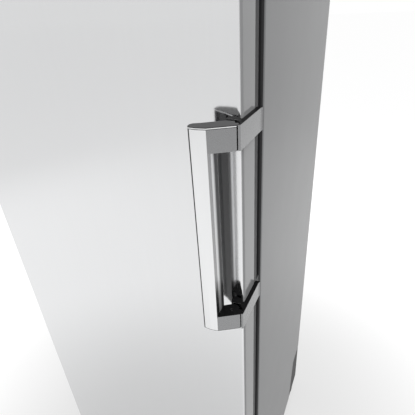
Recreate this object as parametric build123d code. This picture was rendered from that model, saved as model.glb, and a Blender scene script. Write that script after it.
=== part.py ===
from build123d import *
import os

os.makedirs("parts", exist_ok=True)

# Upright freezer, hinged on the left. Millimetres, +Z up, the front faces -Y, the origin lies on the
# floor in the middle of the plan.

# --- overall sizes
body_width = 600.0
body_height = 1850.0
body_depth = 650.0  # door front to the rear edge of the side panels
spacer_reach = 15.0  # wall spacers, behind the side panels
handle_reach = 53.6  # handle's front, ahead of the door front
cabinet_setback = 94.0  # door front to cabinet front
base_clearance = 22.0  # floor to the underside of the base
sheet = 0.8  # steel sheet
corner_radius = 6.5  # upright front edges of the door
running_gap = 0.3  # between parts that move past each other
bore_gap = 0.05  # between a shaft and its bore

half_width = body_width / 2
front_y = -(body_depth + spacer_reach - handle_reach) / 2
back_y = front_y + body_depth
cabinet_y = front_y + cabinet_setback

# --- cabinet
side_fold = 20.0
side_fold_radius = 3.0
front_fold_radius = 6.5  # upright front edges of the cabinet
vent_height = 193.0  # cut-out of a side panel, above the base
vent_depth_top = 90.0
vent_depth_bottom = 125.0
vent_radius = 20.0
top_plate = 3.0
top_skirt = 15.0
skirt_wall = 2.0
frame_plate = 3.2  # front frame between liner and side panels
base_height = 40.0
rail_width = 20.0
beam_depth = 40.0
floor_plate = 2.5
cheek_wall = 2.0  # dark plates behind the cut-outs of the side panels
cheek_lap = 8.0
machine_depth = 212.0
machine_height = 246.0  # above the base's underside

# --- cavity and its liner
liner_wall = 1.5
side_wall = 63.5  # outside of a side panel to the cavity
cavity_floor_z = 135.0
cavity_headroom = 115.0  # cavity roof to the top of the cabinet
cavity_back_wall = 70.0
low_back_wall = 272.0  # insulation and machine compartment behind the lowest drawer
liner_corner = 20.0
bay_floor_z = 330.0
bay_count = 5
glass = 4.0
glass_fit = 0.3
glass_front = 12.0  # cabinet front to the glass edge
ledge_width = 14.0
ledge_height = 6.0
ledge_front = 50.0
duct_depth = 62.0  # behind the evaporator cover
cover_wall = 2.5
cover_fit = 0.3
slot_width = 60.0
slot_height = 8.0
slots_across = 4
slot_pitch = 90.0

half_cavity = half_width - side_wall
cavity_top_z = body_height - cavity_headroom
base_z = base_clearance
base_top_z = base_z + base_height
machine_roof_z = base_z + machine_height
machine_y = back_y - machine_depth
cavity_back_y = back_y - cavity_back_wall
low_back_y = back_y - low_back_wall
cover_y = cavity_back_y - duct_depth - cover_wall
bay_pitch = (cavity_top_z - bay_floor_z) / bay_count
foam_top_z = body_height - top_plate - top_skirt
step_z = bay_floor_z - glass - running_gap

# --- drawers
drawer_side_gap = 16.5  # tub to the cavity's side, past the ledges
drawer_wall = 2.5
drawer_setback = 30.0  # cabinet front to the grip's front edge
drawer_headroom = 39.0  # rim of a tub to the glass under the next drawer
low_drawer_height = 165.0
front_side_gap = 8.5
front_rise = 14.0  # front panel above the tub
front_wall = 3.0
grip_reach = 14.0
grip_wall = 3.0
grip_drop = 12.0
drawer_back_gap = 12.0
drawer_lift = 1.0  # above the shelf it glides on
tub_radius = 15.0

drawer_half = half_cavity - drawer_side_gap
front_half = half_cavity - front_side_gap
drawer_height = bay_pitch - drawer_headroom

# --- cold circuit
fan_drop = 85.0  # cavity roof to the fan's axis
fan_radius = 46.0
fan_hub = 13.0
fan_blades = 5
fan_depth = 14.0
blade_wall = 2.0
blade_chord = 22.0
blade_pitch = 32.0  # degrees
full_turn = 360.0  # degrees
fan_front_gap = 8.0
fan_opening = 52.0
fan_bar = 3.0
fan_bar_pitch = 16.0
fan_bars = 5
motor_radius = 28.0
motor_gap = 4.0
shaft_radius = 2.0
evaporator_side_gap = 46.5
evaporator_drop = 170.0  # fan's axis to the evaporator's top
evaporator_height = 300.0
evaporator_gap = 6.0
fin = 1.0
fin_pitch = 12.0
fin_tube = 4.0
fin_tube_pitch = 48.0
compressor_x = 95.0
compressor_radius = 72.0
compressor_height = 150.0
compressor_dome = 34.0
mount_radius = 10.0
mount_height = 12.0
mount_reach_x = 74.0
mount_reach_y = 56.0
foot_plate = 2.5
foot_strip = 26.0
terminal_depth = 30.0
terminal_width = 56.0
terminal_height = 46.0
tray_side_gap = 45.0
tray_x1 = -25.0
tray_depth = 130.0
tray_height = 38.0
tray_wall = 2.0
tray_back_gap = 25.0
coil_side_gap = 60.0
coil_x1 = -30.0
coil_z = 100.0
coil_pitch = 24.0
coil_runs = 7
coil_tube = 3.0
coil_straight = 0.2  # between two bends of the condenser
coil_front_gap = 18.0
comb_wall = 2.0
comb_inset = 35.0
suction_tube = 4.0
suction_offset = 20.0
suction_run = 72.0
suction_bend = 12.0
inlet_side_gap = 85.0
inlet_width = 50.0
inlet_height = 30.0
inlet_depth = 28.0
inlet_recess = 15.0
inlet_rim = 5.0
inlet_pin = 2.0
inlet_pin_height = 5.0
inlet_pin_length = 7.0
inlet_pin_pitch = 14.0

fan_z = cavity_top_z - fan_drop
evaporator_half = half_cavity - evaporator_side_gap
evaporator_z = fan_z - evaporator_drop - evaporator_height
tray_x0 = -half_width + tray_side_gap
coil_x0 = -half_width + coil_side_gap
inlet_x = half_width - inlet_side_gap

# --- controls
fascia_height = 66.0
fascia_wall = 3.0
display_width = 92.0
display_height = 32.0
display_glass = 2.0
display_lip = 2.0
button_count = 3
button_width = 24.0
button_height = 12.0
button_pitch = 34.0
button_first_x = 92.0
button_proud = 0.8
button_fit = 0.4
button_flange = 2.0
button_flange_wall = 1.6
button_flange_gap = 0.6
button_stem = 2.0
button_stem_length = 5.0
button_travel = 1.0
button_rest_gap = 1.0  # stem to board at full travel
board_wall = 1.6
board_height = 38.0
board_x0 = -62.0
board_x1 = 190.0
post_radius = 3.0
board_inset = 6.0
chip_height = 3.0
chip_width = 16.0
chip_pitch = 64.0
chip_count = 3

# --- stand
foot_inset = 45.0
foot_radius = 20.0
foot_pad = 8.0
foot_stud = 5.0
roller_radius = 20.0
roller_width = 12.0
roller_inset = 75.0
roller_wall = 2.8
roller_room = 4.0
axle_radius = 3.0
ear_reach = 9.0
spacer_width = 40.0
spacer_height = 60.0
spacer_side_gap = 100.0
spacer_drop = 290.0
grille_setback = 60.0
grille_wall = 3.0
grille_gap = 3.0
grille_slot = 8.0
grille_slot_height = 34.0
grille_pitch = 20.0
grille_slot_inset = 57.0  # outside of the first slot, from the body's side

spacer_x = half_width - spacer_side_gap
spacer_z = body_height - spacer_drop
grille_slots = int((body_width - 2 * grille_slot_inset) / grille_pitch)

# --- door
door_bottom_z = 95.0
door_gap = 8.0  # door top to fascia
door_steel_depth = 54.6  # side return of the door skin
door_hem = 8.0
hem_radius = 1.5
door_cap = 14.0
edge_inset = 1.5
edge_width = 38.0
edge_depth = 17.4
liner_depth = 25.4  # inner liner, behind the side return
door_liner_wall = 2.0
gasket_inset = 8.0
gasket_width = 22.0
gasket_base = 6.0
gasket_head = 7.0
gasket_waist = 3.0

door_top_z = body_height - fascia_height - door_gap
steel_y = front_y + door_steel_depth
edge_y = steel_y + edge_depth
cap_bottom_z = door_bottom_z + door_cap
cap_top_z = door_top_z - door_cap

# --- hinges
hinge_inset = 8.0
hinge_depth = 30.0
hinge_pin = 4.0
hinge_plate = 4.0
hinge_reach = 9.0
hinge_side_gap = 1.0  # bracket to the outside of the body
hinge_pin_depth = 12.0
hinge_bore_rest = 1.0
hinge_arm = 70.0
hinge_tip = 20.0
hinge_flange = 3.0
hinge_flange_top = 50.0
hinge_flange_bottom = 26.0
washer_radius = 7.0
washer_height = 0.7
screw_radius = 2.5
screw_head = 4.5
screw_head_height = 2.5
screw_inset = 20.0
screw_pitch = 22.0

hinge_x = -half_width + hinge_inset
hinge_y = front_y + hinge_depth
plate_top_z = door_top_z + door_gap / 2 - hinge_plate / 2
plate_bottom_z = door_bottom_z - washer_height - running_gap - hinge_plate

# --- handle, in plan from the door's front right-hand edge
handle_top_z = 1380.0
handle_height = 369.5
handle_cap = 3.0
cap_bevel = 0.8
arm_height = 35.4
bar_inset = 30.6  # door's side to the bar's right-hand edge
bar_width = 25.6
crown_left = 0.9
crown_right = 1.8
bar_wall = 2.2
bevel_width = 3.4
bevel_depth = 5.7
bar_return = 10.5
core_inset = 0.8
core_corner_reach = 18.8
slit_reach = 30.9
slit_right = 3.4
slit_width = 1.2
crease_reach = 27.6
wing_proud = 8.0
wing_wall = 1.6
wing_depth = 62.6
lip_length = 4.2  # flared rear edge of the wing
lip_rise = 1.3
lip_edge = 0.6
wing_corner = 3.0
foot_thickness = 7.0
bracket_foot = 22.0
bracket_neck = 4.0
pivot_inset = 14.0
pivot_reach = 26.0
pivot_radius = 2.5
pivot_margin = 5.0
tongue_half_height = 6.0
tongue_radius = 6.0
tongue_room = 1.0
tail_reach = 19.8
tail_flat = 2.6
tail_inner = 5.5
tail_inner_reach = 12.5
arm_root = (19.7, 13.3)  # back of the arms: left of the door's edge, ahead of the door
arm_middle = (34.7, 23.5)
arm_bend = (47.8, 31.9)
arm_shoulder = (57.2, 36.5)
arm_shoulder_radius = 3.0
arm_tip = (60.2, 41.8)
pusher_half_height = 10.0
pusher_wall = 4.6
pusher_gap = 0.4
pusher_side_gap = 0.4
pusher_head_x = -1.8
pusher_head_depth = 7.0
pusher_step_gap = 0.8
pusher_step = 5.0
pusher_rod_inset = 2.4
pusher_rod_width = 4.6
pusher_travel = 4.4
pusher_rest_gap = 0.8  # tip to cabinet at full travel
pusher_room = 0.6

handle_bottom_z = handle_top_z - handle_height
pivot_x = half_width - pivot_inset
pivot_y = front_y - pivot_reach
slit_radius = ((pivot_inset + slit_right) ** 2 + (slit_reach - pivot_reach) ** 2) ** 0.5


def block(x0, x1, y0, y1, z0, z1):
    """Box between two opposite corners."""
    centre = Pos((x0 + x1) / 2, (y0 + y1) / 2, (z0 + z1) / 2)
    return centre * Box(x1 - x0, y1 - y0, z1 - z0)


def outline(corners, place):
    """Closed face; each corner is (a, b) or (a, b, radius), and place puts (a, b) into space."""
    points = [place(corner[0], corner[1]) for corner in corners]
    radii = [corner[2] if len(corner) > 2 else 0 for corner in corners]
    return make_face(FilletPolyline(*points, radius=radii, close=True))


def upright(corners, z0, z1):
    """Prism along Z of a plan outline."""
    return extrude(outline(corners, lambda x, y: (x, y, z0)), z1 - z0, dir=(0, 0, 1))


def sideways(corners, x0, x1):
    """Prism along X of an outline in Y and Z."""
    return extrude(outline(corners, lambda y, z: (x0, y, z)), x1 - x0, dir=(1, 0, 0))


def rod_x(radius, x0, x1, y, z):
    """Round bar along X."""
    return Pos((x0 + x1) / 2, y, z) * Rot(0, 90, 0) * Cylinder(radius, x1 - x0)


def rod_y(radius, x, y0, y1, z):
    """Round bar along Y."""
    return Pos(x, (y0 + y1) / 2, z) * Rot(90, 0, 0) * Cylinder(radius, y1 - y0)


def rod_z(radius, x, y, z0, z1):
    """Round bar along Z."""
    return Pos(x, y, (z0 + z1) / 2) * Cylinder(radius, z1 - z0)


def ring(outer, inner, y0, y1, z0, z1):
    """Rectangular frame in the door's plane, between two insets from the door's outer edges."""
    frame = block(-half_width + outer, half_width - outer, y0, y1, z0 + outer, z1 - outer)
    hole = block(-half_width + inner, half_width - inner, y0, y1, z0 + inner, z1 - inner)
    return frame - hole


def save(name, shape):
    """Write one sub-part."""
    export_step(shape, f"parts/{name}.step")


# ---------------------------------------------------------------- cabinet shell


fold_inner = side_fold_radius - sheet
front_fold_inner = front_fold_radius - sheet


def side_panel(side):
    """Steel side with its edges folded inwards, cut out beside the machine compartment."""
    outer_x = side * half_width
    inner_x = side * (half_width - sheet)
    fold_x = side * (half_width - side_fold)
    shell = upright(
        [
            (fold_x, cabinet_y),
            (outer_x, cabinet_y, front_fold_radius),
            (outer_x, back_y, side_fold_radius),
            (fold_x, back_y),
            (fold_x, back_y - sheet),
            (inner_x, back_y - sheet, fold_inner),
            (inner_x, cabinet_y + sheet, front_fold_inner),
            (fold_x, cabinet_y + sheet),
        ],
        base_z,
        body_height - top_plate,
    )
    vent = sideways(
        [
            (back_y + sheet, base_z + vent_height),
            (back_y - vent_depth_top, base_z + vent_height, vent_radius),
            (back_y - vent_depth_bottom, base_z - sheet),
            (back_y + sheet, base_z - sheet),
        ],
        min(outer_x, fold_x) - sheet,
        max(outer_x, fold_x) + sheet,
    )
    return shell - vent


save("side_panel_left", side_panel(-1))
save("side_panel_right", side_panel(1))

inner_half = half_width - sheet
frame_y = cabinet_y + sheet
envelope = upright(
    [
        (-inner_half, frame_y, front_fold_inner),
        (inner_half, frame_y, front_fold_inner),
        (inner_half, back_y - sheet, fold_inner),
        (-inner_half, back_y - sheet, fold_inner),
    ],
    0,
    body_height,
)

plate_z = body_height - top_plate
skirt_x = inner_half - running_gap
skirt_y0 = frame_y + running_gap
skirt_y1 = back_y - 2 * sheet - running_gap
top_cover = upright(
    [
        (-half_width, cabinet_y, front_fold_radius),
        (half_width, cabinet_y, front_fold_radius),
        (half_width, back_y, side_fold_radius),
        (-half_width, back_y, side_fold_radius),
    ],
    plate_z,
    body_height,
)
top_cover += upright(
    [
        (-skirt_x, skirt_y0, front_fold_inner),
        (skirt_x, skirt_y0, front_fold_inner),
        (skirt_x, skirt_y1, fold_inner),
        (-skirt_x, skirt_y1, fold_inner),
    ],
    plate_z - top_skirt,
    plate_z,
)
top_cover -= block(
    -skirt_x + skirt_wall,
    skirt_x - skirt_wall,
    skirt_y0 + skirt_wall,
    skirt_y1 - skirt_wall,
    plate_z - top_skirt,
    plate_z,
)
save("top_cover", top_cover)

back_panel = block(
    -inner_half, inner_half, back_y - 2 * sheet, back_y - sheet, machine_roof_z, foam_top_z
)
save("back_panel", back_panel & envelope)

# Liner: a full-depth cavity over a shorter one that leaves room for the machine compartment.


def liner_body(grow, front):
    """Cavity volume, grown by a wall, from a given front plane."""
    side = half_cavity + grow
    corner = liner_corner + grow
    upper = upright(
        [
            (-side, front),
            (side, front),
            (side, cavity_back_y + grow, corner),
            (-side, cavity_back_y + grow, corner),
        ],
        step_z - grow,
        cavity_top_z + grow,
    )
    lower = upright(
        [
            (-side, front),
            (side, front),
            (side, low_back_y + grow, corner),
            (-side, low_back_y + grow, corner),
        ],
        cavity_floor_z - grow,
        bay_floor_z + grow,
    )
    return upper + lower


liner_outer = liner_body(liner_wall, frame_y)
inner_liner = liner_outer - liner_body(0, frame_y - liner_wall)
ledge_y0 = cabinet_y + ledge_front
ledge_y1 = cover_y - cover_fit
for bay in range(bay_count):
    ledge_top = bay_floor_z + bay * bay_pitch - glass
    ledge_back = ledge_y1 if bay > 0 else low_back_y - liner_corner
    for side in (-1, 1):
        near = side * (half_cavity - ledge_width)
        far = side * (half_cavity + liner_wall / 2)
        inner_liner += block(
            min(near, far), max(near, far), ledge_y0, ledge_back, ledge_top - ledge_height, ledge_top
        )
save("inner_liner", inner_liner)

frame_back_y = frame_y + frame_plate
front_frame = block(-inner_half, inner_half, frame_y, frame_back_y, base_top_z, foam_top_z)
front_frame -= liner_outer
screw_x0 = -half_width + side_fold + screw_inset
screw_places = [
    (screw_x0 + column * screw_pitch, level)
    for column in range(2)
    for level in (
        plate_top_z + hinge_plate + screw_head + screw_head,
        plate_top_z + hinge_plate + screw_head + screw_head + screw_pitch,
        plate_bottom_z - hinge_flange_bottom / 2,
    )
]
for screw_x, screw_z in screw_places:
    front_frame -= rod_y(screw_radius, screw_x, frame_y - sheet, frame_back_y + sheet, screw_z)
save("front_frame", front_frame & envelope)

insulation = block(
    -inner_half, inner_half, frame_back_y, back_y - 2 * sheet, base_top_z, foam_top_z
)
insulation -= block(
    -half_width, half_width, machine_y, back_y, base_z, machine_roof_z
)
insulation -= liner_outer
save("insulation_foam", insulation & envelope)

# Base: two rails, a front beam that carries the feet, a floor under the foam and the compressor's shelf.

foot_places = [side * (half_width - foot_inset) for side in (-1, 1)]
foot_y = frame_y + beam_depth / 2
roller_y = back_y - roller_inset
roller_mid = half_width - sheet - roller_wall - roller_room / 2 - roller_width / 2
shelf_z = base_z + base_height / 2 - floor_plate
base_frame = block(-inner_half, inner_half, frame_y, frame_y + beam_depth, base_z, base_top_z)
base_frame += block(
    -inner_half, inner_half, frame_y, machine_y, base_top_z - floor_plate, base_top_z
)
base_frame += block(
    -inner_half, inner_half, machine_y - floor_plate, machine_y, shelf_z, base_top_z
)
base_frame += block(
    -inner_half, inner_half, machine_y - floor_plate, back_y - 2 * sheet, shelf_z, shelf_z + floor_plate
)
for side in (-1, 1):
    rail_in = side * (inner_half - rail_width)
    rail_out = side * inner_half
    rail_x0 = min(rail_in, rail_out)
    rail_x1 = max(rail_in, rail_out)
    base_frame += block(rail_x0, rail_x1, frame_y, back_y - 2 * sheet, base_z, base_top_z)
    base_frame += block(
        rail_x0,
        rail_x1,
        roller_y - ear_reach,
        roller_y + ear_reach,
        roller_radius - ear_reach,
        base_z + ear_reach,
    )
    cheek_in = side * (inner_half - cheek_wall)
    base_frame += block(
        min(cheek_in, rail_out),
        max(cheek_in, rail_out),
        back_y - vent_depth_bottom - cheek_lap,
        back_y - 2 * sheet,
        base_z,
        base_z + vent_height + cheek_lap,
    )
    room = roller_width / 2 + roller_room / 2
    reach = roller_radius + roller_room
    base_frame -= block(
        side * roller_mid - room,
        side * roller_mid + room,
        roller_y - reach,
        roller_y + reach,
        0,
        roller_radius + reach,
    )
    base_frame -= rod_x(axle_radius, rail_x0, rail_x1, roller_y, roller_radius)
for foot_x in foot_places:
    base_frame -= rod_z(foot_stud + bore_gap, foot_x, foot_y, base_z, base_top_z)
save("base_frame", base_frame & envelope)

grille_y = front_y + grille_setback
grille_top_z = plate_bottom_z - grille_gap
grille_half = half_width - grille_gap
grille = block(-grille_half, grille_half, grille_y, cabinet_y, base_z, grille_top_z)
grille -= block(
    -grille_half + grille_wall,
    grille_half - grille_wall,
    grille_y + grille_wall,
    cabinet_y,
    base_z,
    grille_top_z - grille_wall,
)
grille -= block(
    hinge_x - hinge_arm,
    hinge_x + hinge_arm,
    cabinet_y - hinge_flange - grille_gap,
    cabinet_y,
    grille_top_z - grille_wall,
    grille_top_z,
)
slot_mid_z = (base_z + grille_top_z) / 2
for slot in range(grille_slots):
    slot_x = (slot - (grille_slots - 1) / 2) * grille_pitch
    grille -= block(
        slot_x - grille_slot / 2,
        slot_x + grille_slot / 2,
        grille_y - grille_wall,
        grille_y + 2 * grille_wall,
        slot_mid_z - grille_slot_height / 2,
        slot_mid_z + grille_slot_height / 2,
    )
save("plinth_grille", grille)

spacers = Part()
for side in (-1, 1):
    spacers += upright(
        [
            (side * spacer_x - spacer_width / 2, back_y - sheet),
            (side * spacer_x + spacer_width / 2, back_y - sheet),
            (side * spacer_x + spacer_width / 4, back_y + spacer_reach, side_fold_radius),
            (side * spacer_x - spacer_width / 4, back_y + spacer_reach, side_fold_radius),
        ],
        spacer_z - spacer_height / 2,
        spacer_z + spacer_height / 2,
    )
save("wall_spacers", spacers)

# ---------------------------------------------------------------- feet and rollers

for name, foot_x in zip(("front_foot_left", "front_foot_right"), foot_places):
    foot = rod_z(foot_radius, foot_x, foot_y, 0, foot_pad)
    foot += rod_z(foot_stud, foot_x, foot_y, foot_pad, base_top_z - floor_plate)
    save(name, foot)

for name, side in (("rear_roller_left", -1), ("rear_roller_right", 1)):
    roller_x = side * roller_mid
    roller = rod_x(
        roller_radius, roller_x - roller_width / 2, roller_x + roller_width / 2, roller_y, roller_radius
    )
    roller -= rod_x(
        axle_radius + bore_gap,
        roller_x - roller_width,
        roller_x + roller_width,
        roller_y,
        roller_radius,
    )
    save(name, roller)

axles = Part()
for side in (-1, 1):
    axle_in = side * (inner_half - rail_width)
    axle_out = side * inner_half
    axles += rod_x(
        axle_radius, min(axle_in, axle_out), max(axle_in, axle_out), roller_y, roller_radius
    )
save("roller_axles", axles)

# ---------------------------------------------------------------- shelves, drawers, cold air duct

shelf_half = half_cavity - glass_fit
shelves = Part()
for bay in range(bay_count):
    shelf_top = bay_floor_z + bay * bay_pitch
    shelves += block(
        -shelf_half,
        shelf_half,
        cabinet_y + glass_front,
        cover_y - cover_fit,
        shelf_top - glass,
        shelf_top,
    )
save("glass_shelves", shelves)


def drawer(floor_z, height, back):
    """Clear tub, open at the top, with a taller front panel that carries a grip."""
    grip_y = cabinet_y + drawer_setback
    panel_y = grip_y + grip_reach
    tub_y = panel_y + front_wall
    tub = upright(
        [
            (-drawer_half, panel_y),
            (drawer_half, panel_y),
            (drawer_half, back, tub_radius),
            (-drawer_half, back, tub_radius),
        ],
        floor_z,
        floor_z + height,
    )
    hollow_radius = tub_radius - drawer_wall
    hollow = upright(
        [
            (-drawer_half + drawer_wall, tub_y),
            (drawer_half - drawer_wall, tub_y),
            (drawer_half - drawer_wall, back - drawer_wall, hollow_radius),
            (-drawer_half + drawer_wall, back - drawer_wall, hollow_radius),
        ],
        floor_z + drawer_wall,
        floor_z + height + drawer_wall,
    )
    top = floor_z + height + front_rise
    panel = block(-front_half, front_half, panel_y, tub_y, floor_z, top)
    grip = block(-front_half, front_half, grip_y, panel_y, top - grip_wall, top)
    lip = block(-front_half, front_half, grip_y, grip_y + grip_wall, top - grip_drop, top)
    return (tub - hollow) + panel + grip + lip


low_back = low_back_y - drawer_back_gap
full_back = cover_y - drawer_back_gap
save("drawer_1", drawer(cavity_floor_z + drawer_lift, low_drawer_height, low_back))
for bay in range(bay_count):
    drawer_z = bay_floor_z + bay * bay_pitch + drawer_lift
    save(f"drawer_{bay + 2}", drawer(drawer_z, drawer_height, full_back))

cover_half = half_cavity - cover_fit
duct_y = cover_y + cover_wall
cover = block(
    -cover_half, cover_half, cover_y, duct_y, step_z + cover_fit, cavity_top_z - cover_fit
)
for bay in range(bay_count - 1):
    for column in range(slots_across):
        slot_x = (column - (slots_across - 1) / 2) * slot_pitch
        slot_z = bay_floor_z + (bay + 1) * bay_pitch - glass - ledge_height - 2 * slot_height
        cover -= block(
            slot_x - slot_width / 2,
            slot_x + slot_width / 2,
            cover_y - cover_wall,
            duct_y + cover_wall,
            slot_z - slot_height / 2,
            slot_z + slot_height / 2,
        )
fan_hole = rod_y(fan_opening, 0, cover_y - cover_wall, duct_y + cover_wall, fan_z)
for bar in range(fan_bars):
    bar_x = (bar - (fan_bars - 1) / 2) * fan_bar_pitch
    fan_hole -= block(
        bar_x - fan_bar / 2,
        bar_x + fan_bar / 2,
        cover_y - 2 * cover_wall,
        duct_y + 2 * cover_wall,
        fan_z - fan_opening - fan_bar,
        fan_z + fan_opening + fan_bar,
    )
cover -= fan_hole
save("evaporator_cover", cover)

fan_y = duct_y + fan_front_gap
fan_blade = rod_y(fan_hub, 0, fan_y, fan_y + fan_depth, fan_z)
blade_root = fan_hub / 2
for blade in range(fan_blades):
    flat = Box(fan_radius - blade_root, blade_wall, blade_chord)
    turned = Pos((fan_radius + blade_root) / 2, 0, 0) * Rot(blade_pitch, 0, 0) * flat
    fan_blade += Pos(0, fan_y + fan_depth / 2, fan_z) * Rot(0, full_turn / fan_blades * blade, 0) * turned
fan_blade -= rod_y(shaft_radius + bore_gap, 0, duct_y, fan_y + 2 * fan_depth, fan_z)
save("fan_blade", fan_blade)

motor_y = fan_y + fan_depth + motor_gap
fan_motor = rod_y(motor_radius, 0, motor_y, cavity_back_y, fan_z)
fan_motor += rod_y(shaft_radius, 0, fan_y, motor_y, fan_z)
save("fan_motor", fan_motor)

coil_y0 = duct_y + evaporator_gap
evaporator = Part()
fin_count = int(2 * evaporator_half / fin_pitch) + 1
for index in range(fin_count):
    fin_x = (index - (fin_count - 1) / 2) * fin_pitch
    last = index in (0, fin_count - 1)
    fin_back = cavity_back_y if last else cavity_back_y - evaporator_gap
    evaporator += block(
        fin_x - fin / 2,
        fin_x + fin / 2,
        coil_y0,
        fin_back,
        evaporator_z,
        evaporator_z + evaporator_height,
    )
tube_rows = int(evaporator_height / fin_tube_pitch)
fin_span = (fin_count - 1) * fin_pitch / 2 + fin_tube
for row in range(tube_rows):
    tube_z = evaporator_z + (row + 0.5) * fin_tube_pitch
    tube_y = (coil_y0 + cavity_back_y - evaporator_gap) / 2
    evaporator += rod_x(fin_tube, -fin_span, fin_span, tube_y, tube_z)
save("evaporator", evaporator)

# ---------------------------------------------------------------- machine compartment

shelf_top_z = shelf_z + floor_plate
compressor_y = back_y - machine_depth / 2
plate_low_z = shelf_top_z + mount_height
shell_z = plate_low_z + foot_plate
compressor = rod_z(
    compressor_radius, compressor_x, compressor_y, shell_z, shell_z + compressor_height
)
compressor = fillet(
    compressor.edges().filter_by(GeomType.CIRCLE).group_by(Axis.Z)[-1], compressor_dome
)
for side in (-1, 1):
    strip_y = compressor_y + side * mount_reach_y
    compressor += block(
        compressor_x - mount_reach_x - foot_strip / 2,
        compressor_x + mount_reach_x + foot_strip / 2,
        strip_y - foot_strip / 2,
        strip_y + foot_strip / 2,
        plate_low_z,
        shell_z,
    )
terminal_x = compressor_x + compressor_radius - terminal_depth / 3
terminal_z = shell_z + compressor_height / 4
compressor += block(
    terminal_x,
    terminal_x + terminal_depth,
    compressor_y - terminal_width / 2,
    compressor_y + terminal_width / 2,
    terminal_z,
    terminal_z + terminal_height,
)
save("compressor", compressor)

mounts = Part()
for side_x in (-1, 1):
    for side_y in (-1, 1):
        mounts += rod_z(
            mount_radius,
            compressor_x + side_x * mount_reach_x,
            compressor_y + side_y * mount_reach_y,
            shelf_top_z,
            plate_low_z,
        )
save("compressor_mounts", mounts)

tray_y1 = back_y - tray_back_gap
tray = block(tray_x0, tray_x1, tray_y1 - tray_depth, tray_y1, shelf_top_z, shelf_top_z + tray_height)
tray -= block(
    tray_x0 + tray_wall,
    tray_x1 - tray_wall,
    tray_y1 - tray_depth + tray_wall,
    tray_y1 - tray_wall,
    shelf_top_z + tray_wall,
    shelf_top_z + tray_height + tray_wall,
)
save("evaporation_tray", tray)

condenser_y = machine_y + coil_front_gap
coil_points = []
for run in range(coil_runs):
    ends = (coil_x0, coil_x1) if run % 2 == 0 else (coil_x1, coil_x0)
    for end in ends:
        coil_points.append((end, condenser_y, coil_z + run * coil_pitch))
turn_radius = (coil_pitch - coil_straight) / 2
coil_path = FilletPolyline(*coil_points, radius=turn_radius)
coil_section = Plane(origin=coil_points[0], z_dir=(1, 0, 0)) * Circle(coil_tube)
condenser = sweep(coil_section, path=coil_path)
for comb_x in (coil_x0 + comb_inset, coil_x1 - comb_inset):
    condenser += block(
        comb_x - comb_wall / 2,
        comb_x + comb_wall / 2,
        condenser_y - 2 * coil_tube,
        condenser_y + 2 * coil_tube,
        shelf_top_z,
        coil_z + (coil_runs - 1) * coil_pitch + 2 * coil_tube,
    )
save("condenser_coil", condenser)

suction_z0 = shell_z + compressor_height
suction_mid = (suction_z0 + machine_roof_z) / 2
suction_x0 = compressor_x + suction_offset
suction_x1 = suction_x0 + suction_run
suction_points = [
    (suction_x0, compressor_y, suction_z0),
    (suction_x0, compressor_y, suction_mid),
    (suction_x1, compressor_y, suction_mid),
    (suction_x1, compressor_y, machine_roof_z),
]
suction_path = FilletPolyline(*suction_points, radius=suction_bend)
suction_section = Plane(origin=suction_points[0], z_dir=(0, 0, 1)) * Circle(suction_tube)
save("suction_line", sweep(suction_section, path=suction_path))

inlet_y1 = back_y - 2 * sheet
inlet_y0 = inlet_y1 - inlet_depth
inlet_z1 = machine_roof_z
inlet_z0 = inlet_z1 - inlet_height
inlet = block(
    inlet_x - inlet_width / 2, inlet_x + inlet_width / 2, inlet_y0, inlet_y1, inlet_z0, inlet_z1
)
inlet -= block(
    inlet_x - inlet_width / 2 + inlet_rim,
    inlet_x + inlet_width / 2 - inlet_rim,
    inlet_y1 - inlet_recess,
    inlet_y1,
    inlet_z0 + inlet_rim,
    inlet_z1 - inlet_rim,
)
for pin in (-1, 0, 1):
    pin_x = inlet_x + pin * inlet_pin_pitch
    pin_z = (inlet_z0 + inlet_z1) / 2
    inlet += block(
        pin_x - inlet_pin / 2,
        pin_x + inlet_pin / 2,
        inlet_y1 - inlet_recess,
        inlet_y1 - inlet_recess + inlet_pin_length,
        pin_z - inlet_pin_height / 2,
        pin_z + inlet_pin_height / 2,
    )
save("mains_inlet", inlet)

# ---------------------------------------------------------------- fascia with the controls

fascia_z = body_height - fascia_height
fascia_mid = fascia_z + fascia_height / 2
housing = upright(
    [
        (-half_width, front_y, corner_radius),
        (half_width, front_y, corner_radius),
        (half_width, cabinet_y),
        (-half_width, cabinet_y),
    ],
    fascia_z,
    body_height,
)
housing -= block(
    -half_width + fascia_wall,
    half_width - fascia_wall,
    front_y + fascia_wall,
    cabinet_y,
    fascia_z + fascia_wall,
    body_height - fascia_wall,
)
housing -= block(
    -half_width + fascia_wall,
    hinge_x + hinge_arm + grille_gap,
    cabinet_y - hinge_flange - grille_gap,
    cabinet_y,
    fascia_z,
    fascia_z + fascia_wall,
)
housing -= block(
    -display_width / 2,
    display_width / 2,
    front_y,
    front_y + display_glass,
    fascia_mid - display_height / 2,
    fascia_mid + display_height / 2,
)
housing -= block(
    -display_width / 2 + display_lip,
    display_width / 2 - display_lip,
    front_y,
    front_y + fascia_wall,
    fascia_mid - display_height / 2 + display_lip,
    fascia_mid + display_height / 2 - display_lip,
)
button_flange_y = front_y + fascia_wall + button_flange_gap
stem_y = button_flange_y + button_flange_wall + button_stem_length
board_y = stem_y + button_travel + button_rest_gap
button_places = [button_first_x + index * button_pitch for index in range(button_count)]
for button_x in button_places:
    housing -= block(
        button_x - button_width / 2,
        button_x + button_width / 2,
        front_y - fascia_wall,
        front_y + 2 * fascia_wall,
        fascia_mid - button_height / 2,
        fascia_mid + button_height / 2,
    )
for post_x in (board_x0 + board_inset, board_x1 - board_inset):
    for post_z in (-1, 1):
        housing += rod_y(
            post_radius,
            post_x,
            front_y + fascia_wall / 2,
            board_y,
            fascia_mid + post_z * (board_height / 2 - board_inset),
        )
save("control_housing", housing)

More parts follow.
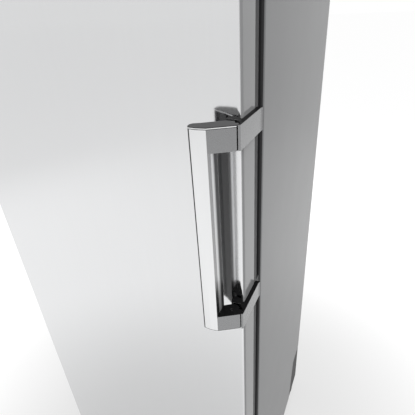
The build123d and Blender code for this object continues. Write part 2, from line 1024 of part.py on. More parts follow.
display = block(
    -display_width / 2,
    display_width / 2,
    front_y,
    front_y + display_glass,
    fascia_mid - display_height / 2,
    fascia_mid + display_height / 2,
)
save("control_display", display)

board = block(
    board_x0,
    board_x1,
    board_y,
    board_y + board_wall,
    fascia_mid - board_height / 2,
    fascia_mid + board_height / 2,
)
for chip in range(chip_count):
    chip_x = board_x0 + (chip + 1) * chip_pitch
    board += block(
        chip_x,
        chip_x + chip_width,
        board_y + board_wall,
        board_y + board_wall + chip_height,
        fascia_mid - chip_width / 2,
        fascia_mid + chip_width / 2,
    )
save("control_board", board)

for index, button_x in enumerate(button_places):
    half_key = button_width / 2 - button_fit
    half_tall = button_height / 2 - button_fit
    key = block(
        button_x - half_key,
        button_x + half_key,
        front_y - button_proud,
        button_flange_y,
        fascia_mid - half_tall,
        fascia_mid + half_tall,
    )
    key += block(
        button_x - half_key - button_flange,
        button_x + half_key + button_flange,
        button_flange_y,
        button_flange_y + button_flange_wall,
        fascia_mid - half_tall - button_flange,
        fascia_mid + half_tall + button_flange,
    )
    key += rod_y(button_stem, button_x, button_flange_y, stem_y, fascia_mid)
    save(f"button_{index + 1}", key)

# ---------------------------------------------------------------- hinges


def hinge_bracket(plate_z0, flange_z0, flange_z1):
    """Arm over the door's end and a flange on the cabinet's front."""
    arm = upright(
        [
            (hinge_x - hinge_inset + hinge_side_gap, hinge_y - hinge_reach, hinge_reach / 2),
            (hinge_x + hinge_tip, hinge_y - hinge_reach, hinge_reach / 2),
            (hinge_x + hinge_arm, cabinet_y),
            (hinge_x - hinge_inset + hinge_side_gap, cabinet_y),
        ],
        plate_z0,
        plate_z0 + hinge_plate,
    )
    flange = block(
        hinge_x, hinge_x + hinge_arm, cabinet_y - hinge_flange, cabinet_y, flange_z0, flange_z1
    )
    bracket = arm + flange
    for screw_x, screw_z in screw_places:
        bracket -= rod_y(
            screw_radius, screw_x, cabinet_y - 2 * hinge_flange, cabinet_y + hinge_flange, screw_z
        )
    return bracket - rod_z(hinge_pin, hinge_x, hinge_y, plate_z0, plate_z0 + hinge_plate)


top_flange_z = plate_top_z + hinge_flange_top
save("hinge_bracket_top", hinge_bracket(plate_top_z, plate_top_z, top_flange_z))
bottom_flange_z = plate_bottom_z - hinge_flange_bottom + hinge_plate
save(
    "hinge_bracket_bottom",
    hinge_bracket(plate_bottom_z, bottom_flange_z, plate_bottom_z + hinge_plate),
)

pins = rod_z(hinge_pin, hinge_x, hinge_y, door_top_z - hinge_pin_depth, plate_top_z + hinge_plate)
pins += rod_z(hinge_pin, hinge_x, hinge_y, plate_bottom_z, door_bottom_z + hinge_pin_depth)
pins += rod_z(
    washer_radius,
    hinge_x,
    hinge_y,
    plate_bottom_z + hinge_plate,
    door_bottom_z - running_gap,
)
save("hinge_pins", pins)

screws = Part()
for screw_x, screw_z in screw_places:
    head_y = cabinet_y - hinge_flange
    screws += rod_y(screw_head, screw_x, head_y - screw_head_height, head_y, screw_z)
    screws += rod_y(screw_radius, screw_x, head_y, frame_back_y, screw_z)
save("hinge_screws", screws)

# ---------------------------------------------------------------- door

skin_radius = corner_radius - sheet
hem_inner = hem_radius - sheet
hem_x = half_width - door_hem
skin = upright(
    [
        (-hem_x, steel_y),
        (-half_width, steel_y, hem_radius),
        (-half_width, front_y, corner_radius),
        (half_width, front_y, corner_radius),
        (half_width, steel_y, hem_radius),
        (hem_x, steel_y),
        (hem_x, steel_y - sheet),
        (inner_half, steel_y - sheet, hem_inner),
        (inner_half, front_y + sheet, skin_radius),
        (-inner_half, front_y + sheet, skin_radius),
        (-inner_half, steel_y - sheet, hem_inner),
        (-hem_x, steel_y - sheet),
    ],
    cap_bottom_z,
    cap_top_z,
)
save("door_skin", skin)


def door_cap_piece(z0, z1):
    """Plastic end of the door, of the same outline as the skin."""
    return upright(
        [
            (-half_width, front_y, corner_radius),
            (half_width, front_y, corner_radius),
            (half_width, steel_y),
            (-half_width, steel_y),
        ],
        z0,
        z1,
    )


bore = hinge_pin + bore_gap
bore_depth = hinge_pin_depth + hinge_bore_rest
cap_top = door_cap_piece(cap_top_z, door_top_z)
cap_top -= rod_z(bore, hinge_x, hinge_y, door_top_z - bore_depth, door_top_z)
save("door_cap_top", cap_top)
cap_bottom = door_cap_piece(door_bottom_z, cap_bottom_z)
cap_bottom -= rod_z(bore, hinge_x, hinge_y, door_bottom_z, door_bottom_z + bore_depth)
save("door_cap_bottom", cap_bottom)

pan_inset = edge_inset + edge_width
pan_y = steel_y + liner_depth
pan_x = half_width - pan_inset
pan_z0 = door_bottom_z + pan_inset
pan_z1 = door_top_z - pan_inset
pan_foam = block(
    -pan_x + door_liner_wall,
    pan_x - door_liner_wall,
    steel_y - sheet,
    pan_y - door_liner_wall,
    pan_z0 + door_liner_wall,
    pan_z1 - door_liner_wall,
)
door_foam = upright(
    [
        (-inner_half, front_y + sheet, skin_radius),
        (inner_half, front_y + sheet, skin_radius),
        (inner_half, steel_y - sheet, hem_inner),
        (-inner_half, steel_y - sheet, hem_inner),
    ],
    cap_bottom_z,
    cap_top_z,
)
door_foam += pan_foam
save("door_foam", door_foam)

door_pan = block(-pan_x, pan_x, steel_y, pan_y, pan_z0, pan_z1)
save("door_liner", door_pan - pan_foam)

pusher_levels = [handle_top_z - arm_height / 2, handle_bottom_z + arm_height / 2]
edge_frame = ring(edge_inset, pan_inset, steel_y, edge_y, door_bottom_z, door_top_z)
for level in pusher_levels:
    edge_frame -= block(
        half_width - pusher_rod_inset - pusher_rod_width - pusher_room,
        half_width,
        steel_y,
        edge_y,
        level - pusher_half_height - pusher_room,
        level + pusher_half_height + pusher_room,
    )
save("door_edge_frame", edge_frame)

gasket_y = cabinet_y - running_gap
gasket_back = gasket_inset + gasket_width
gasket = ring(gasket_inset, gasket_back, edge_y, edge_y + gasket_base, door_bottom_z, door_top_z)
gasket += ring(
    gasket_inset + gasket_waist,
    gasket_back - gasket_waist,
    edge_y + gasket_base,
    gasket_y - gasket_head,
    door_bottom_z,
    door_top_z,
)
gasket += ring(
    gasket_inset, gasket_back, gasket_y - gasket_head, gasket_y, door_bottom_z, door_top_z
)
save("door_gasket", gasket)

# ---------------------------------------------------------------- handle
# Plan points are (to the right of, ahead of) the door's front right-hand edge.


def plan(right, ahead):
    """Point of the handle's plan in space."""
    return (half_width + right, front_y - ahead)


facet_reach_left = handle_reach - crown_left
facet_reach_right = handle_reach - crown_right
bar_left = bar_inset + bar_width
bevel_left = bar_left + bevel_width
bevel_reach = facet_reach_left - bevel_depth
oblique_slope = (facet_reach_right - slit_reach) / (bar_inset + slit_right)
oblique_reach = slit_reach - oblique_slope * (wing_proud - slit_right)

front_points = [
    plan(-bevel_left, bevel_reach),
    plan(-bar_left, facet_reach_left),
    plan(-bar_inset - bar_width / 2, handle_reach),
    plan(-bar_inset, facet_reach_right),
]
arm_back = [
    plan(-arm_root[0], arm_root[1]),
    plan(-arm_middle[0], arm_middle[1]),
    plan(-arm_bend[0], arm_bend[1]),
    (*plan(-arm_shoulder[0], arm_shoulder[1]), arm_shoulder_radius),
    plan(-arm_tip[0], arm_tip[1]),
]
lever_points = front_points + [
    plan(wing_proud, oblique_reach),
    plan(wing_proud, tail_reach),
    plan(-tail_flat, tail_reach),
    plan(-tail_inner, tail_inner_reach),
    *arm_back,
]


def lever_section(z0, z1):
    """Whole plan of the lever; its right-hand end is round about the pivot."""
    section = upright(lever_points, z0, z1)
    end = block(
        pivot_x + tongue_radius, half_width + 2 * wing_proud, front_y - 2 * pivot_reach, front_y, z0, z1
    )
    end -= rod_z(slit_radius, pivot_x, pivot_y, z0, z1)
    return section - end


inner_left = bar_left - bar_wall / 2
inner_right = bar_inset + bar_wall
shell_points = front_points + [
    plan(-bar_inset, facet_reach_right - bar_return),
    plan(-inner_right, facet_reach_right - bar_return),
    plan(-inner_right, facet_reach_right - bar_wall),
    plan(-bar_inset - bar_width / 2, handle_reach - bar_wall),
    plan(-inner_left, facet_reach_left - bar_wall),
    plan(-bevel_left + bar_wall, bevel_reach),
]
inner_points = [
    plan(-bevel_left + bar_wall, bevel_reach),
    plan(-inner_left, facet_reach_left - bar_wall),
    plan(-bar_inset - bar_width / 2, handle_reach - bar_wall),
    plan(-inner_right, facet_reach_right - bar_wall),
    plan(-inner_right, facet_reach_right - bar_return),
]
core_right = bar_inset + core_inset
core_points = inner_points + [
    plan(-core_right, facet_reach_right - bar_return),
    plan(-core_right, core_corner_reach),
    *arm_back[2:],
    plan(-bevel_left, bevel_reach),
]
bar_z0 = handle_bottom_z + handle_cap
bar_z1 = handle_top_z - handle_cap
handle_bar = upright(shell_points, bar_z0, bar_z1)
save("handle_bar", handle_bar)
handle_core = upright(core_points, bar_z0, bar_z1)
save("handle_core", handle_core)


def lever_arm(z0, z1, level):
    """Arm between bar and pivot, with the slot that takes the bracket's tongue."""
    arm = lever_section(z0, z1) - handle_bar - handle_core
    half_slot = tongue_half_height + tongue_room / 2
    slot_radius = tongue_radius + tongue_room
    arm -= rod_z(slot_radius, pivot_x, pivot_y, level - half_slot, level + half_slot)
    arm -= block(
        pivot_x - slot_radius,
        pivot_x + 2 * tongue_radius,
        pivot_y,
        front_y,
        level - half_slot,
        level + half_slot,
    )
    arm -= rod_z(pivot_radius + bore_gap, pivot_x, pivot_y, z0, z1)
    return arm.solids().sort_by(SortBy.VOLUME)[-1]


upper_level = pusher_levels[0]
lower_level = pusher_levels[1]
save("handle_arm_upper", lever_arm(handle_top_z - arm_height, bar_z1, upper_level))
save("handle_arm_lower", lever_arm(bar_z0, handle_bottom_z + arm_height, lower_level))


def bevelled(shape, level_index):
    """Break the rim of a cap's outer face."""
    return chamfer(shape.faces().sort_by(Axis.Z)[level_index].outer_wire().edges(), cap_bevel)


save("handle_cap_top", bevelled(lever_section(bar_z1, handle_top_z), -1))
save("handle_cap_bottom", bevelled(lever_section(handle_bottom_z, bar_z0), 0))

bracket_points = [
    plan(-bracket_foot, 0),
    plan(-bracket_foot, foot_thickness),
    plan(-bracket_neck, foot_thickness),
    plan(-bracket_neck, crease_reach + oblique_slope * (wing_proud + bracket_neck)),
    plan(wing_proud, crease_reach),
    plan(wing_proud, lip_length - wing_depth),
    plan(wing_proud + lip_rise, lip_edge - wing_depth),
    plan(wing_proud + lip_rise - lip_edge, -wing_depth),
    plan(0, -wing_depth),
    plan(0, 0),
]
channel_x0 = half_width + pusher_head_x - pusher_side_gap
channel_x1 = half_width + wing_proud - wing_wall
channel_y = front_y - tail_reach - pusher_gap


def handle_bracket(level):
    """Foot on the door front, wing round the door's edge, tongue for the pivot, pusher's channel."""
    z0 = level - arm_height / 2
    z1 = level + arm_height / 2
    profile = [
        (front_y - 2 * pivot_reach, z0),
        (front_y - 2 * pivot_reach, z1),
        (front_y + wing_depth, z1),
        (front_y + wing_depth, z0, wing_corner),
    ]
    bracket = upright(bracket_points, z0, z1)
    bracket &= sideways(profile, half_width - bracket_foot, half_width + 2 * wing_proud)
    bracket -= rod_z(slit_radius + slit_width, pivot_x, pivot_y, z0, z1)
    half_channel = pusher_half_height + pusher_side_gap
    bracket -= block(
        channel_x0, channel_x1, channel_y, front_y, level - half_channel, level + half_channel
    )
    bracket -= block(
        half_width,
        channel_x1,
        front_y,
        front_y + wing_depth,
        level - half_channel,
        level + half_channel,
    )
    tongue = block(
        pivot_x - tongue_radius,
        pivot_x + tongue_radius,
        pivot_y,
        front_y - foot_thickness / 2,
        level - tongue_half_height,
        level + tongue_half_height,
    )
    tongue += rod_z(
        tongue_radius, pivot_x, pivot_y, level - tongue_half_height, level + tongue_half_height
    )
    tongue -= rod_z(pivot_radius, pivot_x, pivot_y, z0, z1)
    return bracket + tongue


save("handle_bracket_upper", handle_bracket(upper_level))
save("handle_bracket_lower", handle_bracket(lower_level))

pivots = Part()
for level in pusher_levels:
    reach = arm_height / 2 - pivot_margin
    pivots += rod_z(pivot_radius, pivot_x, pivot_y, level - reach, level + reach)
save("handle_pivots", pivots)

pusher_x1 = channel_x1 - pusher_side_gap
pusher_x0 = pusher_x1 - pusher_wall
pusher_y0 = front_y - tail_reach + pusher_gap
step_y0 = steel_y + pusher_step_gap
rod_x1 = half_width - pusher_rod_inset
rod_x0 = rod_x1 - pusher_rod_width
tip_y = cabinet_y - pusher_rest_gap - pusher_travel
for name, level in (("pusher_upper", upper_level), ("pusher_lower", lower_level)):
    low = level - pusher_half_height
    high = level + pusher_half_height
    pusher = block(pusher_x0, pusher_x1, pusher_y0, step_y0 + pusher_step, low, high)
    pusher += block(
        half_width + pusher_head_x, pusher_x1, pusher_y0, pusher_y0 + pusher_head_depth, low, high
    )
    pusher += block(rod_x0, pusher_x1, step_y0, step_y0 + pusher_step, low, high)
    pusher += block(rod_x0, rod_x1, step_y0, tip_y, low, high)
    save(name, pusher)
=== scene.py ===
import math

import bmesh
import bpy
from mathutils import Matrix, Vector


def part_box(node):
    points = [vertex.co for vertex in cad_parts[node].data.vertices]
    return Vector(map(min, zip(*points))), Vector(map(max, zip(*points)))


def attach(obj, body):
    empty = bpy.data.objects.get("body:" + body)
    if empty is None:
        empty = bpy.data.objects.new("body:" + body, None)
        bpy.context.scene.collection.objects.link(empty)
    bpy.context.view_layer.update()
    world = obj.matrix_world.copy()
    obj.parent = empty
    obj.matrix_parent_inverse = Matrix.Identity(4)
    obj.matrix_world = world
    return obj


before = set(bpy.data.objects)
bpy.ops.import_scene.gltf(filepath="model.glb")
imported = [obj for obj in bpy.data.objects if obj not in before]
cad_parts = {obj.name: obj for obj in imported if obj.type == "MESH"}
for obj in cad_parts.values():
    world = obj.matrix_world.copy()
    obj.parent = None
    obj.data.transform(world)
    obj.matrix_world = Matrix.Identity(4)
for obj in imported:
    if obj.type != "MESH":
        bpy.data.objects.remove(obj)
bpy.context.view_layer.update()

bl_info = {
    "name": "Upright freezer",
    "version": (1, 0, 0),
    "blender": (4, 5, 0),
    "location": "3D View > Sidebar > Freezer",
    "description": "Finishes, fittings and studio for an upright freezer with a lever handle",
    "category": "Object",
}

MILLIMETRE = 0.001
SMOOTH_ANGLE = math.radians(35)


# ---------------------------------------------------------------- settings


def colour(name, description, default):
    """A colour that a user may change."""
    return bpy.props.FloatVectorProperty(
        name=name, description=description, default=default, subtype="COLOR", size=3, min=0, max=1
    )


def length(name, description, millimetres):
    """A length that a user may change."""
    return bpy.props.FloatProperty(
        name=name, description=description, default=millimetres * MILLIMETRE, unit="LENGTH", min=0
    )


def share(name, description, default):
    """A number from 0 to 1 that a user may change."""
    return bpy.props.FloatProperty(
        name=name, description=description, default=default, subtype="FACTOR", min=0, max=1
    )


class FreezerFinishes(bpy.types.PropertyGroup):
    """Colours and gloss of the freezer."""

    steel: colour("Door steel", "Brushed steel of the door", (0.7, 0.704, 0.71))
    steel_roughness: share("Steel roughness", "How far the door blurs its reflections", 0.1)
    silver: colour("Side silver", "Paint of the cabinet's sides", (0.2, 0.202, 0.206))
    handle: colour("Handle metal", "Anodised bar of the handle", (0.75, 0.755, 0.76))
    arm: colour("Arm metal", "Cast arms and brackets of the handle", (0.26, 0.262, 0.266))
    cap: colour("Cap grey", "Plastic end faces of the handle", (0.016, 0.016, 0.017))
    black: colour("Black plastic", "Core of the handle, grille and feet", (0.012, 0.012, 0.013))
    white: colour("Liner white", "Liner of the cavity and the door", (0.74, 0.75, 0.755))
    clear: colour("Drawer tint", "Clear plastic of the drawers", (0.83, 0.9, 0.94))
    rubber: colour("Gasket grey", "Door gasket", (0.03, 0.03, 0.032))


class FreezerFittings(bpy.types.PropertyGroup):
    """Sizes of the small fittings."""

    screw_radius: length("Screw head radius", "Screws of the back panel", 4.0)
    screw_pitch: length("Screw spacing", "Distance between the screws up the back", 190.0)
    rib_height: length("Rib height", "Moulded ribs across the drawer fronts", 5.0)
    rib_relief: length("Rib relief", "How far a rib stands out", 1.2)
    weld_reach: length("Weld seam", "Seam round the compressor", 3.0)
    tread: length("Tread", "Ridge of a foot or roller", 1.0)


class FreezerStudio(bpy.types.PropertyGroup):
    """Camera, lamps and floor."""

    camera_place: bpy.props.FloatVectorProperty(
        name="Camera place",
        description="Where the camera stands",
        default=(0.47314, -0.76959, 1.52405),
        subtype="TRANSLATION",
        unit="LENGTH",
        size=3,
    )
    camera_turn: bpy.props.FloatProperty(
        name="Camera turn", description="Turn to the left", default=0.468, unit="ROTATION"
    )
    camera_tilt: bpy.props.FloatProperty(
        name="Camera tilt", description="Tilt downwards", default=0.515, unit="ROTATION"
    )
    camera_roll: bpy.props.FloatProperty(
        name="Camera roll", description="Roll about the line of sight", default=-0.066, unit="ROTATION"
    )
    camera_lens: bpy.props.FloatProperty(
        name="Lens", description="Focal length on a 36 mm wide sensor", default=32.06, min=1
    )
    key_power: bpy.props.FloatProperty(name="Key lamp", description="Power", default=70.0, unit="POWER")
    fill_power: bpy.props.FloatProperty(name="Fill lamp", description="Power", default=40.0, unit="POWER")
    rear_power: bpy.props.FloatProperty(name="Rear lamp", description="Power", default=60.0, unit="POWER")
    sky: share("Sky", "Even light from all round", 0.45)
    backdrop: share("Backdrop", "Brightness of the plain backdrop, where 1 is white", 1.0)
    floor: colour("Floor", "Pale floor", (0.3, 0.3, 0.3))
    # the lower white by the freezer paints a shadow round its foot
    floor_near: share("Floor glow near", "White that the floor adds to its lit colour, by the freezer", 0.52)
    floor_far: share("Floor glow far", "White that the floor adds to its lit colour, farther off", 0.85)


# ---------------------------------------------------------------- node helpers


def add(tree, kind, inputs=None, **settings):
    """Adds a node; a socket given as an input is linked, and any other value is set."""
    node = tree.nodes.new(kind)
    for name, value in settings.items():
        setattr(node, name, value)
    for key, value in (inputs or {}).items():
        if isinstance(value, bpy.types.NodeSocket):
            tree.links.new(value, node.inputs[key])
        else:
            node.inputs[key].default_value = value
    return node


def maths(tree, operation, first, second=0.0, clamp=False):
    """Output of a Math node."""
    node = add(tree, "ShaderNodeMath", {0: first, 1: second}, operation=operation, use_clamp=clamp)
    return node.outputs[0]


def blend_colours(tree, factor, first, second):
    """Output of a colour Mix node."""
    node = tree.nodes.new("ShaderNodeMix")
    node.data_type = "RGBA"
    for socket, value in ((0, factor), (6, first), (7, second)):
        if isinstance(value, bpy.types.NodeSocket):
            tree.links.new(value, node.inputs[socket])
        elif socket == 0:
            node.inputs[socket].default_value = value
        else:
            node.inputs[socket].default_value = (*value, 1.0)
    return node.outputs[2]


def between(tree, value, low, high, start=0.0, end=1.0, smooth=False):
    """Output of a Map Range node."""
    node = add(
        tree,
        "ShaderNodeMapRange",
        {"Value": value, "From Min": low, "From Max": high, "To Min": start, "To Max": end},
        interpolation_type="SMOOTHSTEP" if smooth else "LINEAR",
    )
    return node.outputs["Result"]


def new_group(name, inputs, outputs):
    """Shader node group with named sockets; returns it with its inner input and output sockets."""
    group = bpy.data.node_groups.new(name, "ShaderNodeTree")
    for label, kind, default in inputs:
        socket = group.interface.new_socket(name=label, in_out="INPUT", socket_type=kind)
        socket.default_value = default
    for label, kind in outputs:
        group.interface.new_socket(name=label, in_out="OUTPUT", socket_type=kind)
    entry = group.nodes.new("NodeGroupInput")
    leave = group.nodes.new("NodeGroupOutput")
    return group, entry.outputs, leave.inputs


TEXTURE_INPUTS = (
    ("Vector", "NodeSocketVector", (0, 0, 0)),
    ("Scale", "NodeSocketVector", (1, 1, 1)),
    ("Contrast", "NodeSocketFloat", 1.0),
)
TEXTURE_OUTPUTS = (("Shade", "NodeSocketFloat"), ("Height", "NodeSocketFloat"))


def group_named(name, build):
    """The node group of that name, built the first time it is asked for."""
    return bpy.data.node_groups.get(name) or build(name)


def scaled(tree, vector, scale):
    """Vector times a scale for each axis."""
    node = add(tree, "ShaderNodeVectorMath", {0: vector, 1: scale}, operation="MULTIPLY")
    return node.outputs[0]


def noise(tree, vector, scale, detail=3.0, rough=0.55):
    """Grey of a Noise texture."""
    values = {"Vector": vector, "Scale": scale, "Detail": detail, "Roughness": rough}
    return add(tree, "ShaderNodeTexNoise", values).outputs["Fac"]


def contrasted(tree, value, contrast):
    """Value spread about one half."""
    spread = maths(tree, "MULTIPLY", maths(tree, "SUBTRACT", value, 0.5), contrast)
    return maths(tree, "ADD", spread, 0.5, clamp=True)


def brushed_grain(name):
    """Long fine scratches along the axis with the smallest scale, over slow changes of tone."""
    group, given, out = new_group(name, TEXTURE_INPUTS, TEXTURE_OUTPUTS)
    along = scaled(group, given["Vector"], given["Scale"])
    fine = noise(group, along, 1.0, detail=2.0, rough=0.7)
    broad = noise(group, along, 0.11, detail=2.0)
    both = maths(group, "ADD", maths(group, "MULTIPLY", fine, 0.6), maths(group, "MULTIPLY", broad, 0.4))
    group.links.new(contrasted(group, both, given["Contrast"]), out["Shade"])
    group.links.new(fine, out["Height"])
    return group


def moulded_grain(name):
    """Fine spark-eroded stipple of a moulded plastic."""
    group, given, out = new_group(name, TEXTURE_INPUTS, TEXTURE_OUTPUTS)
    place = scaled(group, given["Vector"], given["Scale"])
    bumps = noise(group, place, 1.0, detail=4.0, rough=0.65)
    cloud = noise(group, place, 0.05, detail=2.0)
    both = maths(group, "ADD", maths(group, "MULTIPLY", bumps, 0.5), maths(group, "MULTIPLY", cloud, 0.5))
    group.links.new(contrasted(group, both, given["Contrast"]), out["Shade"])
    group.links.new(bumps, out["Height"])
    return group


def painted_sheet(name):
    """Slight orange peel of sprayed paint, with metal flakes in its colour."""
    group, given, out = new_group(name, TEXTURE_INPUTS, TEXTURE_OUTPUTS)
    place = scaled(group, given["Vector"], given["Scale"])
    peel = noise(group, place, 1.0, detail=1.5)
    flakes = add(group, "ShaderNodeTexVoronoi", {"Vector": place, "Scale": 9.0})
    flake = add(group, "ShaderNodeSeparateColor", {"Color": flakes.outputs["Color"]}).outputs["Red"]
    cloud = noise(group, place, 0.03, detail=2.0)
    both = maths(group, "ADD", maths(group, "MULTIPLY", flake, 0.55), maths(group, "MULTIPLY", cloud, 0.45))
    group.links.new(contrasted(group, both, given["Contrast"]), out["Shade"])
    group.links.new(peel, out["Height"])
    return group


def zinc_spangle(name):
    """Crystal pattern of hot-dipped zinc."""
    group, given, out = new_group(name, TEXTURE_INPUTS, TEXTURE_OUTPUTS)
    place = scaled(group, given["Vector"], given["Scale"])
    crystals = add(group, "ShaderNodeTexVoronoi", {"Vector": place, "Scale": 1.0, "Randomness": 1.0})
    tone = add(group, "ShaderNodeSeparateColor", {"Color": crystals.outputs["Color"]}).outputs["Green"]
    group.links.new(contrasted(group, tone, given["Contrast"]), out["Shade"])
    group.links.new(maths(group, "ADD", tone, noise(group, place, 6.0)), out["Height"])
    return group


def foam_cells(name):
    """Open cells of cut foam."""
    group, given, out = new_group(name, TEXTURE_INPUTS, TEXTURE_OUTPUTS)
    place = scaled(group, given["Vector"], given["Scale"])
    cells = add(group, "ShaderNodeTexVoronoi", {"Vector": place, "Scale": 1.0}).outputs["Distance"]
    group.links.new(contrasted(group, cells, given["Contrast"]), out["Shade"])
    group.links.new(maths(group, "SUBTRACT", 1.0, cells), out["Height"])
    return group


def softened_edge(name):
    """Normal of a small round on every edge, and a mask of those edges."""
    inputs = (("Radius", "NodeSocketFloat", 0.0005),)
    group, given, out = new_group(name, inputs, (("Normal", "NodeSocketVector"), ("Edge", "NodeSocketFloat")))
    bevel = add(group, "ShaderNodeBevel", {"Radius": given["Radius"]}, samples=6)
    plain = add(group, "ShaderNodeNewGeometry").outputs["Normal"]
    turn = add(group, "ShaderNodeVectorMath", {0: bevel.outputs[0], 1: plain}, operation="DOT_PRODUCT")
    group.links.new(bevel.outputs[0], out["Normal"])
    group.links.new(between(group, turn.outputs["Value"], 1.0, 0.8), out["Edge"])
    return group


def settled_dust(name):
    """Mask of a thin uneven film of dust on faces that look up."""
    inputs = (("Vector", "NodeSocketVector", (0, 0, 0)), ("Amount", "NodeSocketFloat", 0.2))
    group, given, out = new_group(name, inputs, (("Dust", "NodeSocketFloat"),))
    normal = add(group, "ShaderNodeNewGeometry").outputs["Normal"]
    up = add(group, "ShaderNodeSeparateXYZ", {0: normal}).outputs["Z"]
    facing = between(group, up, 0.3, 0.95)
    patches = between(group, noise(group, given["Vector"], 14.0, detail=6.0, rough=0.7), 0.3, 0.75)
    film = maths(group, "MULTIPLY", facing, maths(group, "MULTIPLY", patches, given["Amount"]))
    group.links.new(film, out["Dust"])
    return group


def outward_faces(name):
    """Mask of faces that look towards a direction in the object's own axes."""
    inputs = (
        ("Direction", "NodeSocketVector", (1, 0, 0)),
        ("Start", "NodeSocketFloat", 0.1),
        ("End", "NodeSocketFloat", 0.2),
    )
    group, given, out = new_group(name, inputs, (("Mask", "NodeSocketFloat"),))
    normal = add(group, "ShaderNodeNewGeometry").outputs["True Normal"]
    own = add(
        group,
        "ShaderNodeVectorTransform",
        {"Vector": normal},
        vector_type="NORMAL",
        convert_from="WORLD",
        convert_to="OBJECT",
    )
    turn = add(
        group, "ShaderNodeVectorMath", {0: own.outputs[0], 1: given["Direction"]}, operation="DOT_PRODUCT"
    )
    group.links.new(between(group, turn.outputs["Value"], given["Start"], given["End"]), out["Mask"])
    return group


def level_faces(name):
    """Mask of faces that look straight up or down."""
    inputs = (("Start", "NodeSocketFloat", 0.75), ("End", "NodeSocketFloat", 0.95))
    group, given, out = new_group(name, inputs, (("Mask", "NodeSocketFloat"),))
    normal = add(group, "ShaderNodeNewGeometry").outputs["True Normal"]
    up = add(group, "ShaderNodeSeparateXYZ", {0: normal}).outputs["Z"]
    tilt = maths(group, "ABSOLUTE", up)
    group.links.new(between(group, tilt, given["Start"], given["End"]), out["Mask"])
    return group


def seam_line(name):
    """Mask of a thin level line at a given height."""
    inputs = (
        ("Vector", "NodeSocketVector", (0, 0, 0)),
        ("Height", "NodeSocketFloat", 1.0),
        ("Half width", "NodeSocketFloat", 0.0003),
    )
    group, given, out = new_group(name, inputs, (("Mask", "NodeSocketFloat"),))
    level = add(group, "ShaderNodeSeparateXYZ", {0: given["Vector"]}).outputs["Z"]
    away = maths(group, "ABSOLUTE", maths(group, "SUBTRACT", level, given["Height"]))
    near = maths(group, "LESS_THAN", away, given["Half width"])
    group.links.new(near, out["Mask"])
    return group


def use(tree, build, **values):
    """A node of a shader group, with its inputs set or linked by name."""
    node = add(tree, "ShaderNodeGroup", node_tree=group_named(build.__name__, build))
    for name, value in values.items():
        socket = node.inputs[name.replace("_", " ")]
        if isinstance(value, bpy.types.NodeSocket):
            tree.links.new(value, socket)
        else:
            socket.default_value = value
    return node.outputs


# ---------------------------------------------------------------- finishes


PAINTED_SHADE_LINE_WIDTH = 0.0052  # width of the bar's black line, in metres: painted shade along the bar's left edge
PAINTED_HIGHLIGHT_FADE_START = 0.015  # from the core's rear, where the painted highlight on the core's side begins to fade into painted shade
PAINTED_HIGHLIGHT_FADE_END = 0.009
RETURN_PAINTED_SHADE = 0.45  # tone of the bar's return beside its face: a darker copy of the metal, painted shade
WORN_EDGE = (0.8, 0.8, 0.8)
DUST_FILM = (0.55, 0.54, 0.52)
DUST_DULLNESS = 0.4
# where the painted shade on faces that look one way begins and ends
PAINTED_SHADE_START = 0.55
PAINTED_SHADE_END = 0.7
FINE = (2600.0, 2600.0, 2600.0)
STIPPLE = (1500.0, 1500.0, 1500.0)
PEEL = (420.0, 420.0, 420.0)
UPRIGHT_GRAIN = (2400.0, 2400.0, 22.0)


def new_material(name):
    """Material with a Principled shader and nothing else."""
    material = bpy.data.materials.new(name)
    material.use_nodes = True
    tree = material.node_tree
    tree.nodes.clear()
    shader = add(tree, "ShaderNodeBsdfPrincipled")
    add(tree, "ShaderNodeOutputMaterial", {"Surface": shader.outputs["BSDF"]})
    place = add(tree, "ShaderNodeTexCoord").outputs["Object"]
    return material, tree, shader, place


def relief(tree, shader, height, depth, edge_radius):
    """Fine relief over softened edges; returns the mask of the edges."""
    edge = use(tree, softened_edge, Radius=edge_radius)
    bump = add(
        tree,
        "ShaderNodeBump",
        {"Height": height, "Distance": depth, "Strength": 1.0, "Normal": edge["Normal"]},
    )
    tree.links.new(bump.outputs["Normal"], shader.inputs["Normal"])
    return edge["Edge"]


def finish(name, light, dark, rough, texture, scale, depth, **choice):
    """One finish: two colours and two roughnesses mixed by a texture, with relief, edges and dust, and
    painted shade on faces that look one way.
    """
    material, tree, shader, place = new_material(name)
    grain = use(tree, texture, Vector=place, Scale=scale, Contrast=choice.get("contrast", 1.0))
    edge = relief(tree, shader, grain["Height"], depth, choice.get("edge", 0.0004))
    base = blend_colours(tree, grain["Shade"], dark, light)
    edge_light = choice.get("edge_light", 0.12)
    base = blend_colours(tree, maths(tree, "MULTIPLY", edge, edge_light), base, WORN_EDGE)
    dust = use(tree, settled_dust, Vector=place, Amount=choice.get("dust", 0.1))["Dust"]
    base = blend_colours(tree, dust, base, DUST_FILM)
    low, high = rough
    gloss = between(tree, grain["Shade"], 0.0, 1.0, high, low)
    gloss = maths(tree, "ADD", gloss, maths(tree, "MULTIPLY", dust, DUST_DULLNESS), clamp=True)
    tree.links.new(gloss, shader.inputs["Roughness"])
    metallic = choice.get("metallic", 0.0)
    shader.inputs["Metallic"].default_value = metallic
    # faces looking the given way take a darker colour without metal: painted shade
    if "trim" in choice:
        trim = use(tree, outward_faces, Direction=choice["trim"], Start=PAINTED_SHADE_START, End=PAINTED_SHADE_END)["Mask"]
        base = blend_colours(tree, trim, base, choice["trim_colour"])
        tree.links.new(between(tree, trim, 0.0, 1.0, metallic, 0.0), shader.inputs["Metallic"])
    tree.links.new(base, shader.inputs["Base Color"])
    shader.inputs["Coat Weight"].default_value = choice.get("coat", 0.0)
    shader.inputs["Coat Roughness"].default_value = choice.get("coat_roughness", 0.1)
    shader.inputs["Specular IOR Level"].default_value = choice.get("specular", 0.5)
    shader.inputs["Anisotropic"].default_value = choice.get("anisotropic", 0.0)
    return material


def shaded(tone, factor):
    """A darker or lighter copy of a colour."""
    return tuple(min(1.0, part * factor) for part in tone)


